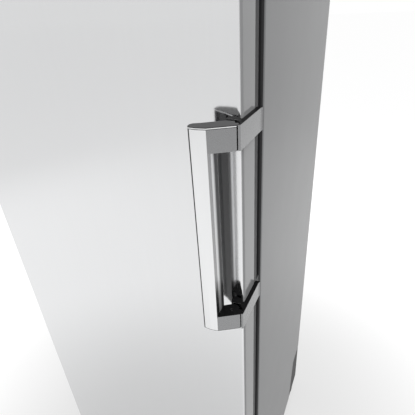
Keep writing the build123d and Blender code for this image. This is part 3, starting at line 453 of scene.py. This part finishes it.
def door_steel(name, look):
    """Brushed steel with an upright grain, and a dull grey return on the handle's side that is painted shade.
    """
    steel = tuple(look.steel)
    rough = look.steel_roughness
    return finish(
        name,
        steel,
        shaded(steel, 0.97),
        (rough - 0.015, rough + 0.025),
        brushed_grain,
        UPRIGHT_GRAIN,
        0.0000012,
        metallic=1.0,
        # the door's side faces (+X) are painted dull grey without metal: painted shade
        trim=(1.0, 0.0, 0.0),
        trim_colour=(0.27, 0.272, 0.276),
        specular=0.2,
        edge=0.0006,
        edge_light=0.0,
        dust=0.02,
        contrast=1.4,
    )


def side_silver(name, look):
    """Silver paint on the cabinet's sides, and a dark strip along their front folds that is painted shade in
    the gap behind the door.
    """
    silver = tuple(look.silver)
    return finish(
        name,
        shaded(silver, 1.05),
        shaded(silver, 0.95),
        (0.3, 0.35),
        painted_sheet,
        PEEL,
        0.00001,
        metallic=0.4,
        # the front faces of the folds are painted near black: painted shade in the gap
        trim=(0.0, -1.0, 0.0),
        trim_colour=(0.02, 0.02, 0.021),
        specular=0.2,
        edge=0.0012,
        edge_light=0.4,
        dust=0.08,
    )


def top_grey(name, look):
    """Grey paint of the top and the fascia."""
    silver = shaded(tuple(look.silver), 1.4)
    return finish(
        name,
        silver,
        shaded(silver, 0.93),
        (0.34, 0.42),
        painted_sheet,
        PEEL,
        0.00001,
        metallic=0.5,
        edge=0.0012,
        edge_light=0.1,
        dust=0.2,
    )


def zinc_sheet(name, look):
    """Zinc-coated sheet of the back."""
    return finish(
        name,
        (0.42, 0.43, 0.44),
        (0.3, 0.31, 0.32),
        (0.35, 0.5),
        zinc_spangle,
        (85.0, 85.0, 85.0),
        0.000004,
        metallic=0.85,
        edge=0.0005,
        dust=0.25,
    )


def base_dark(name, look):
    """Dark paint of the base under the machine compartment."""
    return finish(
        name,
        (0.016, 0.016, 0.017),
        (0.01, 0.01, 0.011),
        (0.45, 0.6),
        painted_sheet,
        PEEL,
        0.00002,
        specular=0.3,
        edge=0.0006,
        dust=0.12,
    )


def frame_grey(name, look):
    """Paint of the front frame that the gasket meets: the side silver at half its brightness, painted shade
    in the gap behind the door.
    """
    silver = tuple(look.silver)
    # the side silver halved: painted shade
    return finish(
        name,
        shaded(silver, 0.5),
        shaded(silver, 0.45),
        (0.35, 0.45),
        painted_sheet,
        PEEL,
        0.00001,
        metallic=0.3,
        edge=0.0006,
        dust=0.05,
    )


def insulation(name, look):
    """Cream polyurethane foam."""
    return finish(
        name,
        (0.72, 0.6, 0.34),
        (0.5, 0.4, 0.2),
        (0.8, 0.95),
        foam_cells,
        (700.0, 700.0, 700.0),
        0.0004,
        edge_light=0.0,
        dust=0.0,
    )


def liner_white(name, look):
    """Vacuum-formed white plastic."""
    white = tuple(look.white)
    return finish(
        name,
        white,
        shaded(white, 0.96),
        (0.3, 0.4),
        moulded_grain,
        (650.0, 650.0, 650.0),
        0.00003,
        edge=0.002,
        edge_light=0.05,
        dust=0.0,
    )


def black_plastic(name, look):
    """Black moulded plastic with a stippled face."""
    black = tuple(look.black)
    return finish(
        name,
        shaded(black, 1.5),
        black,
        (0.42, 0.6),
        moulded_grain,
        STIPPLE,
        0.00004,
        specular=0.3,
        edge=0.0006,
        edge_light=0.06,
        dust=0.12,
    )


def grey_plastic(name, look):
    """Dark grey moulded plastic."""
    return finish(
        name,
        (0.12, 0.12, 0.124),
        (0.09, 0.09, 0.094),
        (0.38, 0.5),
        moulded_grain,
        STIPPLE,
        0.00003,
        edge=0.0008,
        edge_light=0.08,
        dust=0.06,
    )


def tray_plastic(name, look):
    """Mid-grey plastic of the evaporation tray, with water marks."""
    return finish(
        name,
        (0.24, 0.24, 0.25),
        (0.17, 0.17, 0.178),
        (0.35, 0.6),
        moulded_grain,
        (300.0, 300.0, 300.0),
        0.00004,
        dust=0.3,
    )


def nylon(name, look):
    """Natural black nylon of rollers and spacers."""
    return finish(
        name,
        (0.05, 0.05, 0.052),
        (0.035, 0.035, 0.037),
        (0.4, 0.55),
        moulded_grain,
        FINE,
        0.00003,
        dust=0.15,
    )


def turned_steel(name, look):
    """Zinc-plated turned steel of pins, axles and screws."""
    return finish(
        name,
        (0.62, 0.62, 0.63),
        (0.5, 0.5, 0.51),
        (0.2, 0.34),
        brushed_grain,
        (300.0, 300.0, 6000.0),
        0.000004,
        metallic=1.0,
        edge=0.0003,
        dust=0.05,
    )


def finned_aluminium(name, look):
    """Dull aluminium of the evaporator with traces of frost."""
    return finish(
        name,
        (0.7, 0.71, 0.72),
        (0.56, 0.57, 0.58),
        (0.3, 0.5),
        brushed_grain,
        (60.0, 900.0, 900.0),
        0.00001,
        metallic=0.9,
        dust=0.1,
    )


def enamel_black(name, look):
    """Glossy black enamel of the compressor and the condenser."""
    return finish(
        name,
        (0.02, 0.02, 0.021),
        (0.012, 0.012, 0.013),
        (0.24, 0.4),
        painted_sheet,
        (260.0, 260.0, 260.0),
        0.00005,
        coat=0.3,
        coat_roughness=0.15,
        dust=0.45,
    )


def soft_rubber(name, look):
    """Matt black rubber of the compressor's mounts."""
    return finish(
        name,
        (0.022, 0.022, 0.023),
        (0.014, 0.014, 0.015),
        (0.7, 0.9),
        moulded_grain,
        (900.0, 900.0, 900.0),
        0.00006,
        specular=0.3,
        dust=0.3,
    )


def gasket_rubber(name, look):
    """Flexible grey gasket."""
    grey = tuple(look.rubber)
    return finish(
        name,
        grey,
        shaded(grey, 0.8),
        (0.5, 0.62),
        moulded_grain,
        (900.0, 900.0, 900.0),
        0.00003,
        edge=0.001,
        edge_light=0.04,
        dust=0.04,
    )


def copper_pipe(name, look):
    """Drawn copper with a little tarnish."""
    return finish(
        name,
        (0.86, 0.46, 0.3),
        (0.6, 0.28, 0.17),
        (0.18, 0.42),
        brushed_grain,
        (180.0, 180.0, 40.0),
        0.000005,
        metallic=1.0,
        contrast=2.2,
        dust=0.1,
    )


def board_green(name, look):
    """Solder-resist green with a fine weave."""
    return finish(
        name,
        (0.03, 0.16, 0.07),
        (0.02, 0.11, 0.05),
        (0.25, 0.35),
        moulded_grain,
        FINE,
        0.00001,
        coat=0.4,
        dust=0.0,
    )


def button_silver(name, look):
    """Satin silver keys."""
    return finish(
        name,
        (0.5, 0.5, 0.51),
        (0.44, 0.44, 0.45),
        (0.28, 0.36),
        moulded_grain,
        FINE,
        0.00001,
        metallic=0.8,
        edge=0.0008,
        dust=0.0,
    )


def hinge_black(name, look):
    """Black powder coat of the hinge brackets."""
    return finish(
        name,
        (0.035, 0.035, 0.037),
        (0.02, 0.02, 0.022),
        (0.45, 0.6),
        moulded_grain,
        STIPPLE,
        0.00006,
        dust=0.1,
    )


def bar_metal(name, look, left):
    """Satin anodised aluminium with an upright grain, a black line along its left edge that is painted shade
    of the bar's left side, and a dull return painted darker as painted shade.
    """
    material, tree, shader, place = new_material(name)
    metal = tuple(look.handle)
    black = tuple(look.black)
    grain = use(tree, brushed_grain, Vector=place, Scale=UPRIGHT_GRAIN, Contrast=1.3)
    relief(tree, shader, grain["Height"], 0.0000015, 0.0004)
    across = add(tree, "ShaderNodeSeparateXYZ", {0: place}).outputs["X"]
    # a black line along the bar's left edge: painted shade of its left side
    trim = maths(tree, "LESS_THAN", across, left + PAINTED_SHADE_LINE_WIDTH)
    shaded_return = use(tree, outward_faces, Direction=(1.0, 0.0, 0.0), Start=0.8, End=0.9)["Mask"]
    base = blend_colours(tree, grain["Shade"], shaded(metal, 0.95), metal)
    # faces turned towards +X, the return, get the darker copy: painted shade
    base = blend_colours(tree, shaded_return, base, shaded(metal, RETURN_PAINTED_SHADE))
    base = blend_colours(tree, trim, base, black)
    tree.links.new(base, shader.inputs["Base Color"])
    tree.links.new(maths(tree, "SUBTRACT", 1.0, trim), shader.inputs["Metallic"])
    rough = between(tree, grain["Shade"], 0.0, 1.0, 0.12, 0.09)
    rough = maths(tree, "ADD", rough, maths(tree, "MULTIPLY", shaded_return, 0.15))
    tree.links.new(maths(tree, "ADD", rough, maths(tree, "MULTIPLY", trim, 0.35)), shader.inputs["Roughness"])
    return material


def core_finish(name, look, rear):
    """Black moulding whose right-hand side is given the bar's plating beside the bar, a painted highlight
    that fades to black towards the door as painted shade.
    """
    material, tree, shader, place = new_material(name)
    black = tuple(look.black)
    grain = use(tree, moulded_grain, Vector=place, Scale=STIPPLE, Contrast=1.0)
    relief(tree, shader, grain["Height"], 0.00001, 0.0008)
    plating_and_painted_light = use(tree, outward_faces, Direction=(1.0, 0.0, 0.0), Start=0.8, End=0.9)["Mask"]
    depth = add(tree, "ShaderNodeSeparateXYZ", {0: place}).outputs["Y"]
    # the metal band and its fade towards the door are painted highlight and painted shade
    fade = between(tree, depth, rear - PAINTED_HIGHLIGHT_FADE_START, rear - PAINTED_HIGHLIGHT_FADE_END, 1.0, 0.0)
    plating_and_painted_light = maths(tree, "MULTIPLY", plating_and_painted_light, fade)
    dark = blend_colours(tree, grain["Shade"], black, shaded(black, 1.5))
    base = blend_colours(tree, plating_and_painted_light, dark, tuple(look.handle))
    tree.links.new(base, shader.inputs["Base Color"])
    tree.links.new(maths(tree, "MULTIPLY", plating_and_painted_light, 0.8), shader.inputs["Metallic"])
    rough = between(tree, grain["Shade"], 0.0, 1.0, 0.4, 0.32)
    tree.links.new(rough, shader.inputs["Roughness"])
    shader.inputs["Specular IOR Level"].default_value = 0.3
    return material


def arm_metal(name, look):
    """Silver outer faces of the arms and brackets, over black mouldings painted darker than the black plastic
    as painted shade.
    """
    material, tree, shader, place = new_material(name)
    metal = tuple(look.arm)
    grain = use(tree, brushed_grain, Vector=place, Scale=(900.0, 900.0, 900.0), Contrast=1.0)
    edge = relief(tree, shader, grain["Height"], 0.0000006, 0.0004)
    plating_and_painted_light = use(tree, outward_faces, Direction=(0.9, -0.43, 0.0), Start=0.15, End=0.25)["Mask"]
    base = blend_colours(tree, grain["Shade"], shaded(metal, 0.95), metal)
    base = blend_colours(tree, maths(tree, "MULTIPLY", edge, 0.35), base, (0.9, 0.9, 0.9))
    # the mouldings get 0.4 of the black plastic: painted shade on their tops and undersides
    base = blend_colours(tree, plating_and_painted_light, shaded(tuple(look.black), 0.4), base)
    tree.links.new(base, shader.inputs["Base Color"])
    tree.links.new(plating_and_painted_light, shader.inputs["Metallic"])
    rough = between(tree, grain["Shade"], 0.0, 1.0, 0.3, 0.24)
    rough = maths(tree, "ADD", rough, maths(tree, "MULTIPLY", maths(tree, "SUBTRACT", 1.0, plating_and_painted_light), 0.2))
    tree.links.new(rough, shader.inputs["Roughness"])
    shader.inputs["Specular IOR Level"].default_value = 0.1
    return material


def cap_finish(name, look, seam_height):
    """Dark end face with a metal rim and a thin shadow line where the cap meets the bar."""
    material, tree, shader, place = new_material(name)
    metal = tuple(look.handle)
    grain = use(tree, moulded_grain, Vector=place, Scale=STIPPLE, Contrast=1.0)
    relief(tree, shader, grain["Height"], 0.00001, 0.0003)
    level = use(tree, level_faces, Start=0.5, End=0.6)["Mask"]
    seam = use(tree, seam_line, Vector=place, Height=seam_height, Half_width=0.0009)["Mask"]
    dark = blend_colours(tree, grain["Shade"], shaded(tuple(look.cap), 0.85), tuple(look.cap))
    base = blend_colours(tree, level, metal, dark)
    base = blend_colours(tree, seam, base, tuple(look.black))
    tree.links.new(base, shader.inputs["Base Color"])
    bare = maths(tree, "MULTIPLY", maths(tree, "SUBTRACT", 1.0, level), maths(tree, "SUBTRACT", 1.0, seam))
    tree.links.new(bare, shader.inputs["Metallic"])
    tree.links.new(between(tree, grain["Shade"], 0.0, 1.0, 0.34, 0.26), shader.inputs["Roughness"])
    shader.inputs["Specular IOR Level"].default_value = 0.3
    return material


def display_glass(name, look):
    """Black glass of the display."""
    return finish(
        name,
        (0.008, 0.008, 0.009),
        (0.006, 0.006, 0.007),
        (0.05, 0.09),
        moulded_grain,
        (40.0, 40.0, 40.0),
        0.000001,
        coat=1.0,
        coat_roughness=0.03,
        edge=0.0005,
        dust=0.0,
    )


def shelf_glass(name, look):
    """Toughened glass, greener at its edges."""
    material, tree, shader, place = new_material(name)
    grain = use(tree, moulded_grain, Vector=place, Scale=(60.0, 60.0, 60.0), Contrast=0.6)
    edge = relief(tree, shader, grain["Height"], 0.000002, 0.0008)
    base = blend_colours(tree, edge, (0.93, 0.97, 0.955), (0.45, 0.75, 0.66))
    tree.links.new(base, shader.inputs["Base Color"])
    tree.links.new(between(tree, grain["Shade"], 0.0, 1.0, 0.02, 0.06), shader.inputs["Roughness"])
    shader.inputs["Transmission Weight"].default_value = 1.0
    shader.inputs["IOR"].default_value = 1.5
    return material


def drawer_clear(name, look):
    """Clear polystyrene, finely stippled so that it looks a little frosted."""
    material, tree, shader, place = new_material(name)
    clear = tuple(look.clear)
    grain = use(tree, moulded_grain, Vector=place, Scale=(900.0, 900.0, 900.0), Contrast=1.0)
    edge = relief(tree, shader, grain["Height"], 0.00002, 0.0008)
    base = blend_colours(tree, grain["Shade"], shaded(clear, 0.94), clear)
    base = blend_colours(tree, edge, base, shaded(clear, 0.75))
    tree.links.new(base, shader.inputs["Base Color"])
    tree.links.new(between(tree, grain["Shade"], 0.0, 1.0, 0.16, 0.3), shader.inputs["Roughness"])
    shader.inputs["Transmission Weight"].default_value = 0.85
    shader.inputs["IOR"].default_value = 1.25
    return material


def signal_light(name, look):
    """Pale blue light of the display's marks."""
    material, tree, shader, place = new_material(name)
    grain = use(tree, moulded_grain, Vector=place, Scale=FINE, Contrast=1.0)
    glow = blend_colours(tree, grain["Shade"], (0.5, 0.7, 0.95), (0.7, 0.85, 1.0))
    tree.links.new(glow, shader.inputs["Base Color"])
    tree.links.new(glow, shader.inputs["Emission Color"])
    shader.inputs["Emission Strength"].default_value = 0.8
    relief(tree, shader, grain["Height"], 0.000002, 0.0002)
    return material


finishes_made = {}


def material_for(build):
    """The finish that a function makes, made once."""
    name = build.__name__
    if name not in finishes_made:
        finishes_made[name] = build(f"{name}_finish", bpy.context.scene.freezer_finishes)
    return finishes_made[name]


def dress(names, material):
    """Gives CAD nodes their finish."""
    for name in names:
        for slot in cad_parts[name].material_slots:
            slot.material = material


# ---------------------------------------------------------------- mesh helpers


def lathe(mesh, profile, centre, axis, steps=32):
    """Turns (radius, height) points about an axis through the centre; a radius of 0 closes the end."""
    turn = Vector((0, 0, 1)).rotation_difference(Vector(axis)).to_matrix()
    rings = []
    for radius, height in profile:
        count = 1 if radius == 0 else steps
        points = []
        for step in range(count):
            angle = 2 * math.pi * step / steps
            point = Vector((radius * math.cos(angle), radius * math.sin(angle), height))
            points.append(mesh.verts.new(Vector(centre) + turn @ point))
        rings.append(points)
    for lower, upper in zip(rings, rings[1:]):
        for step in range(steps):
            after = (step + 1) % steps
            corners = [lower[step % len(lower)], lower[after % len(lower)]]
            corners += [upper[after % len(upper)], upper[step % len(upper)]]
            distinct = list(dict.fromkeys(corners))
            if len(distinct) > 2:
                mesh.faces.new(distinct)


def slab(mesh, low, high, bevel, segments=2):
    """Block between two corners with rounded edges."""
    low = Vector(low)
    high = Vector(high)
    size = high - low
    made = bmesh.ops.create_cube(mesh, size=1.0)["verts"]
    for vertex in made:
        vertex.co = (low + high) / 2 + Vector(a * b for a, b in zip(vertex.co, size))
    edges = list({edge for vertex in made for edge in vertex.link_edges})
    bmesh.ops.bevel(mesh, geom=edges, offset=bevel, segments=segments, affect="EDGES", profile=0.5)


def piece(name, shape, body, material):
    """Makes an object of a shape function, gives it a finish and lets it ride on a body."""
    built = bmesh.new()
    shape(built)
    bmesh.ops.recalc_face_normals(built, faces=built.faces)
    mesh = bpy.data.meshes.new(name)
    built.to_mesh(mesh)
    built.free()
    mesh.materials.append(material)
    mesh.shade_smooth()
    mesh.set_sharp_from_angle(angle=SMOOTH_ANGLE)
    made = bpy.data.objects.new(name, mesh)
    bpy.context.scene.collection.objects.link(made)
    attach(made, body)
    return made


def dome(radius, height):
    """Profile of a domed screw head."""
    return [
        (radius, 0.0),
        (radius, 0.35 * height),
        (0.85 * radius, 0.75 * height),
        (0.5 * radius, 0.97 * height),
        (0, height),
    ]


def cross(mesh, centre, radius, outward):
    """Driver recess: two crossed bars in the plane square to Y."""
    x, y, z = centre
    half = 0.16 * radius
    reach = 0.62 * radius
    near, far = sorted((y, y + outward))
    bevel = 0.3 * half
    slab(mesh, (x - half, near, z - reach), (x + half, far, z + reach), bevel, 1)
    slab(mesh, (x - reach, near, z - half), (x + reach, far, z + half), bevel, 1)


# ---------------------------------------------------------------- operators


class FREEZER_OT_door(bpy.types.Operator):
    """Steel door with its plastic ends, edge frame, gasket and liner"""

    bl_idname = "freezer.door"
    bl_label = "Door"

    def execute(self, context):
        dress(["door_skin"], material_for(door_steel))
        dress(["door_cap_top", "door_cap_bottom"], material_for(grey_plastic))
        dress(["door_edge_frame"], material_for(black_plastic))
        dress(["door_gasket"], material_for(gasket_rubber))
        dress(["door_liner"], material_for(liner_white))
        dress(["door_foam"], material_for(insulation))
        low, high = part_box("door_liner")
        rim = 0.03
        rib = 0.006
        depth = 0.003

        def ribs(mesh):
            left = low[0] + rim
            right = high[0] - rim
            bottom = low[2] + rim
            top = high[2] - rim
            near = high[1] - 0.0005
            far = high[1] + depth
            for level in (bottom, top - rib):
                slab(mesh, (left, near, level), (right, far, level + rib), 0.0015, 3)
            for side in (left, right - rib):
                slab(mesh, (side, near, bottom), (side + rib, far, top), 0.0015, 3)

        piece("door_liner_ribs", ribs, "door", material_for(liner_white))
        return {"FINISHED"}


class FREEZER_OT_handle(bpy.types.Operator):
    """Lever handle: bar, core, arms, end caps, brackets and pushers"""

    bl_idname = "freezer.handle"
    bl_label = "Handle"

    def execute(self, context):
        look = context.scene.freezer_finishes
        bar_low, bar_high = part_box("handle_bar")
        core_low, core_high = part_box("handle_core")
        dress(["handle_bar"], bar_metal("bar", look, bar_low[0]))
        dress(["handle_core"], core_finish("core", look, core_high[1]))
        dress(["pusher_upper", "pusher_lower"], material_for(black_plastic))
        arms = ["handle_arm_upper", "handle_arm_lower", "handle_bracket_upper", "handle_bracket_lower"]
        dress(arms, material_for(arm_metal))
        dress(["handle_pivots"], material_for(turned_steel))
        dress(["handle_cap_top"], cap_finish("cap_top", look, bar_high[2]))
        dress(["handle_cap_bottom"], cap_finish("cap_bottom", look, bar_low[2]))
        return {"FINISHED"}


class FREEZER_OT_cabinet(bpy.types.Operator):
    """Painted cabinet, its top, back, front frame and foam, with the screws up the back"""

    bl_idname = "freezer.cabinet"
    bl_label = "Cabinet"

    def execute(self, context):
        dress(["side_panel_left", "side_panel_right"], material_for(side_silver))
        dress(["top_cover"], material_for(top_grey))
        dress(["back_panel"], material_for(zinc_sheet))
        dress(["front_frame"], material_for(frame_grey))
        dress(["insulation_foam"], material_for(insulation))
        dress(["wall_spacers"], material_for(nylon))
        fittings = context.scene.freezer_fittings
        low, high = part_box("back_panel")
        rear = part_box("side_panel_left")[1][1]
        inset = 0.011
        count = int((high[2] - low[2]) / fittings.screw_pitch)
        places = []
        for step in range(count + 1):
            level = low[2] + inset + step * (high[2] - low[2] - 2 * inset) / count
            places += [(low[0] + inset, level), (high[0] - inset, level)]
        radius = fittings.screw_radius
        head = 0.45 * radius

        def heads(mesh):
            for x, level in places:
                lathe(mesh, dome(radius, head), (x, rear, level), (0, 1, 0), 24)

        def recesses(mesh):
            for x, level in places:
                cross(mesh, (x, rear + 0.8 * head, level), radius, 0.24 * head)

        piece("back_screws", heads, "cabinet", material_for(turned_steel))
        piece("back_screw_recesses", recesses, "cabinet", material_for(black_plastic))
        return {"FINISHED"}


class FREEZER_OT_interior(bpy.types.Operator):
    """White cavity with glass shelves, clear drawers and the cold air duct"""

    bl_idname = "freezer.interior"
    bl_label = "Interior"

    def execute(self, context):
        dress(["inner_liner", "evaporator_cover"], material_for(liner_white))
        dress(["glass_shelves"], material_for(shelf_glass))
        dress(["evaporator"], material_for(finned_aluminium))
        dress(["fan_blade", "fan_motor"], material_for(black_plastic))
        fittings = context.scene.freezer_fittings
        rib = fittings.rib_height
        proud = fittings.rib_relief
        for number in range(1, 7):
            name = f"drawer_{number}"
            dress([name], material_for(drawer_clear))
            low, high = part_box(name)
            face = low[1] + 0.014
            middle = (low[2] + high[2]) / 2

            def ribs(mesh):
                for step in (-2, -1, 0, 1, 2):
                    level = middle + step * 3.2 * rib - 0.01
                    slab(
                        mesh,
                        (low[0] + 0.03, face - proud, level),
                        (high[0] - 0.03, face + 0.0006, level + rib),
                        0.45 * proud,
                        3,
                    )

            piece(f"{name}_ribs", ribs, f"{name}_body", material_for(drawer_clear))
        return {"FINISHED"}


class FREEZER_OT_machine(bpy.types.Operator):
    """Compressor, condenser, pipes, tray and mains inlet in the machine compartment"""

    bl_idname = "freezer.machine"
    bl_label = "Machine compartment"

    def execute(self, context):
        dress(["compressor", "condenser_coil"], material_for(enamel_black))
        dress(["compressor_mounts"], material_for(soft_rubber))
        dress(["evaporation_tray"], material_for(tray_plastic))
        dress(["suction_line"], material_for(copper_pipe))
        dress(["mains_inlet"], material_for(black_plastic))
        reach = context.scene.freezer_fittings.weld_reach
        low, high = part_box("compressor")
        mounts_low, mounts_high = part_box("compressor_mounts")
        centre = Vector([(mounts_low[axis] + mounts_high[axis]) / 2 for axis in range(3)])
        radius = 0.072
        centre[2] = low[2] + 0.55 * (high[2] - low[2])

        def seam(mesh):
            outer = radius + reach
            profile = [(radius - 0.001, -reach), (outer, -0.5 * reach), (outer, 0.5 * reach)]
            lathe(mesh, profile + [(radius - 0.001, reach)], centre, (0, 0, 1), 64)

        def stub(mesh):
            foot = (centre[0] - 0.03, centre[1] + 0.02, high[2] - 0.006)
            profile = [(0.004, 0.0), (0.004, 0.024), (0.0026, 0.027), (0.0026, 0.036), (0, 0.037)]
            lathe(mesh, profile, foot, (0, 0, 1), 20)

        piece("compressor_seam", seam, "cabinet", material_for(enamel_black))
        piece("compressor_stub", stub, "cabinet", material_for(copper_pipe))
        return {"FINISHED"}


class FREEZER_OT_base(bpy.types.Operator):
    """Base frame, plinth grille, levelling feet and rollers"""

    bl_idname = "freezer.base"
    bl_label = "Base and feet"

    def execute(self, context):
        dress(["base_frame"], material_for(base_dark))
        dress(["plinth_grille", "front_foot_left", "front_foot_right"], material_for(black_plastic))
        dress(["rear_roller_left", "rear_roller_right"], material_for(nylon))
        dress(["roller_axles"], material_for(turned_steel))
        tread = context.scene.freezer_fittings.tread
        for side in ("left", "right"):
            foot = f"front_foot_{side}"
            low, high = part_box(foot)
            centre = ((low[0] + high[0]) / 2, (low[1] + high[1]) / 2, 0.0)
            radius = (high[0] - low[0]) / 2

            def grip(mesh):
                for step in range(24):
                    angle = 2 * math.pi * step / 24
                    x = centre[0] + (radius - 0.3 * tread) * math.cos(angle)
                    y = centre[1] + (radius - 0.3 * tread) * math.sin(angle)
                    profile = [(0, 0.002), (tread, 0.0024), (tread, 0.0072), (0, 0.0076)]
                    lathe(mesh, profile, (x, y, 0.0), (0, 0, 1), 10)

            piece(f"{foot}_grip", grip, f"{foot}_body", material_for(black_plastic))
        return {"FINISHED"}


class FREEZER_OT_controls(bpy.types.Operator):
    """Fascia with its display, keys and board"""

    bl_idname = "freezer.controls"
    bl_label = "Controls"

    def execute(self, context):
        dress(["control_housing"], material_for(top_grey))
        dress(["control_display"], material_for(display_glass))
        dress(["control_board"], material_for(board_green))
        dress(["button_1", "button_2", "button_3"], material_for(button_silver))
        low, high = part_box("control_display")
        middle = (low[2] + high[2]) / 2

        def marks(mesh):
            for step in range(5):
                x = low[0] + (step + 1) * (high[0] - low[0]) / 6
                height = 0.002 + 0.0012 * step
                slab(
                    mesh,
                    (x - 0.003, low[1] - 0.0002, middle - 0.004),
                    (x + 0.003, low[1] + 0.0002, middle - 0.004 + height),
                    0.00008,
                    1,
                )

        piece("display_marks", marks, "cabinet", material_for(signal_light))
        return {"FINISHED"}


class FREEZER_OT_hinges(bpy.types.Operator):
    """Hinge brackets, pins and screws"""

    bl_idname = "freezer.hinges"
    bl_label = "Hinges"

    def execute(self, context):
        dress(["hinge_bracket_top", "hinge_bracket_bottom"], material_for(hinge_black))
        dress(["hinge_pins", "hinge_screws"], material_for(turned_steel))
        return {"FINISHED"}


# ---------------------------------------------------------------- stage

# Distances from the freezer's middle in metres between which the floor turns white; nearer in, the floor's
# lower white is a painted shadow.
NEAR_FLOOR = 0.45
FAR_FLOOR = 1.5
FLOOR_REACH = 30.0
FLOOR_DROP = 0.0002  # keeps the floor clear of the feet
LAMP_AIM = (0.0, 0.0, 0.9)
# Each lamp's name, place, width and the setting that holds its power.
LAMPS = (
    ("key_lamp", (1.9, -2.4, 3.1), 1.8, "key_power"),
    ("fill_lamp", (-2.6, -1.6, 2.2), 2.2, "fill_power"),
    ("rear_lamp", (0.8, 2.6, 2.8), 1.8, "rear_power"),
)


def plain_background(tree, shown, lit):
    """One look for the eye, for metal and for glass; the other for the light that falls on the object."""
    rays = add(tree, "ShaderNodeLightPath").outputs
    seen = maths(tree, "MAXIMUM", rays["Is Camera Ray"], rays["Is Glossy Ray"])
    seen = maths(tree, "MAXIMUM", seen, rays["Is Transmission Ray"])
    return add(tree, "ShaderNodeMixShader", {0: seen, 1: lit.outputs[0], 2: shown.outputs[0]}).outputs[0]


def floor_material(pale, near, far):
    """Plain pale floor that keeps the shadows of the lamps and adds less white near the freezer, a painted
    shadow round its foot, turning white away from it.
    """
    material = bpy.data.materials.new("studio_floor")
    material.use_nodes = True
    tree = material.node_tree
    tree.nodes.clear()
    matt = add(tree, "ShaderNodeBsdfDiffuse", {"Color": (*pale, 1.0)})
    place = add(tree, "ShaderNodeTexCoord").outputs["Object"]
    away = add(tree, "ShaderNodeVectorMath", {0: place}, operation="LENGTH").outputs["Value"]
    # less white near the freezer: a painted shadow round its foot
    glow = between(tree, away, NEAR_FLOOR, FAR_FLOOR, near, far, smooth=True)
    white = add(tree, "ShaderNodeEmission", {"Color": (1, 1, 1, 1), "Strength": glow})
    shown = add(tree, "ShaderNodeAddShader", {0: matt.outputs[0], 1: white.outputs[0]})
    add(tree, "ShaderNodeOutputMaterial", {"Surface": plain_background(tree, shown, matt)})
    return material


def studio_world(strength, backdrop):
    """Plain backdrop to the eye and to metal, and an even soft light."""
    world = bpy.data.worlds.new("studio")
    world.use_nodes = True
    tree = world.node_tree
    tree.nodes.clear()
    even = add(tree, "ShaderNodeBackground", {"Color": (1, 1, 1, 1), "Strength": strength})
    shown = add(tree, "ShaderNodeBackground", {"Color": (1, 1, 1, 1), "Strength": backdrop})
    add(tree, "ShaderNodeOutputWorld", {"Surface": plain_background(tree, shown, even)})
    return world


def soft_lamp(name, place, target, size, power):
    """Square soft lamp aimed at a point."""
    light = bpy.data.lights.new(name, "AREA")
    light.shape = "SQUARE"
    light.size = size
    light.energy = power
    lamp = bpy.data.objects.new(name, light)
    bpy.context.scene.collection.objects.link(lamp)
    aim = (Vector(target) - Vector(place)).to_track_quat("-Z", "Y").to_matrix().to_4x4()
    lamp.visible_glossy = False
    lamp.matrix_world = Matrix.Translation(place) @ aim
    return lamp


class FREEZER_OT_stage(bpy.types.Operator):
    """Pale floor, three soft lamps, plain backdrop and the camera"""

    bl_idname = "freezer.stage"
    bl_label = "Studio"

    def execute(self, context):
        studio = context.scene.freezer_studio
        built = bmesh.new()
        bmesh.ops.create_grid(built, x_segments=8, y_segments=8, size=FLOOR_REACH)
        mesh = bpy.data.meshes.new("studio_floor")
        built.to_mesh(mesh)
        built.free()
        mesh.materials.append(floor_material(tuple(studio.floor), studio.floor_near, studio.floor_far))
        ground = bpy.data.objects.new("studio_floor", mesh)
        context.scene.collection.objects.link(ground)
        ground.location = (0, 0, -FLOOR_DROP)

        for name, place, width, power in LAMPS:
            soft_lamp(name, place, LAMP_AIM, width, getattr(studio, power))
        context.scene.world = studio_world(studio.sky, studio.backdrop)
        context.scene.view_settings.view_transform = "Standard"

        view = bpy.data.cameras.new("camera")
        view.lens = studio.camera_lens
        view.sensor_width = 36.0
        view.clip_start = 0.01
        camera = bpy.data.objects.new("camera", view)
        context.scene.collection.objects.link(camera)
        turn = Matrix.Rotation(studio.camera_turn, 4, "Z")
        tilt = Matrix.Rotation(math.pi / 2 - studio.camera_tilt, 4, "X")
        roll = Matrix.Rotation(studio.camera_roll, 4, "Z")
        camera.matrix_world = Matrix.Translation(studio.camera_place) @ turn @ tilt @ roll
        context.scene.camera = camera
        return {"FINISHED"}


STEPS = (
    FREEZER_OT_stage,
    FREEZER_OT_door,
    FREEZER_OT_handle,
    FREEZER_OT_cabinet,
    FREEZER_OT_interior,
    FREEZER_OT_machine,
    FREEZER_OT_base,
    FREEZER_OT_controls,
    FREEZER_OT_hinges,
)
SETTINGS = (
    (FreezerFinishes, "freezer_finishes"),
    (FreezerFittings, "freezer_fittings"),
    (FreezerStudio, "freezer_studio"),
)


class FREEZER_PT_panel(bpy.types.Panel):
    """Lists the freezer's pieces"""

    bl_idname = "FREEZER_PT_panel"
    bl_label = "Upright freezer"
    bl_space_type = "VIEW_3D"
    bl_region_type = "UI"
    bl_category = "Freezer"

    def draw(self, context):
        for kind, name in SETTINGS:
            box = self.layout.box()
            for setting in kind.__annotations__:
                box.prop(getattr(context.scene, name), setting)
        for step in STEPS:
            self.layout.operator(step.bl_idname)


def register():
    """Adds the settings, operators and panel."""
    for kind, name in SETTINGS:
        bpy.utils.register_class(kind)
        setattr(bpy.types.Scene, name, bpy.props.PointerProperty(type=kind))
    for step in STEPS:
        bpy.utils.register_class(step)
    bpy.utils.register_class(FREEZER_PT_panel)


def unregister():
    """Takes them away again."""
    bpy.utils.unregister_class(FREEZER_PT_panel)
    for step in reversed(STEPS):
        bpy.utils.unregister_class(step)
    for kind, name in reversed(SETTINGS):
        delattr(bpy.types.Scene, name)
        bpy.utils.unregister_class(kind)


def main():
    """Builds the looks in order."""
    register()
    for step in STEPS:
        family, action = step.bl_idname.split(".")
        getattr(getattr(bpy.ops, family), action)()


if __name__ == "__main__":
    main()
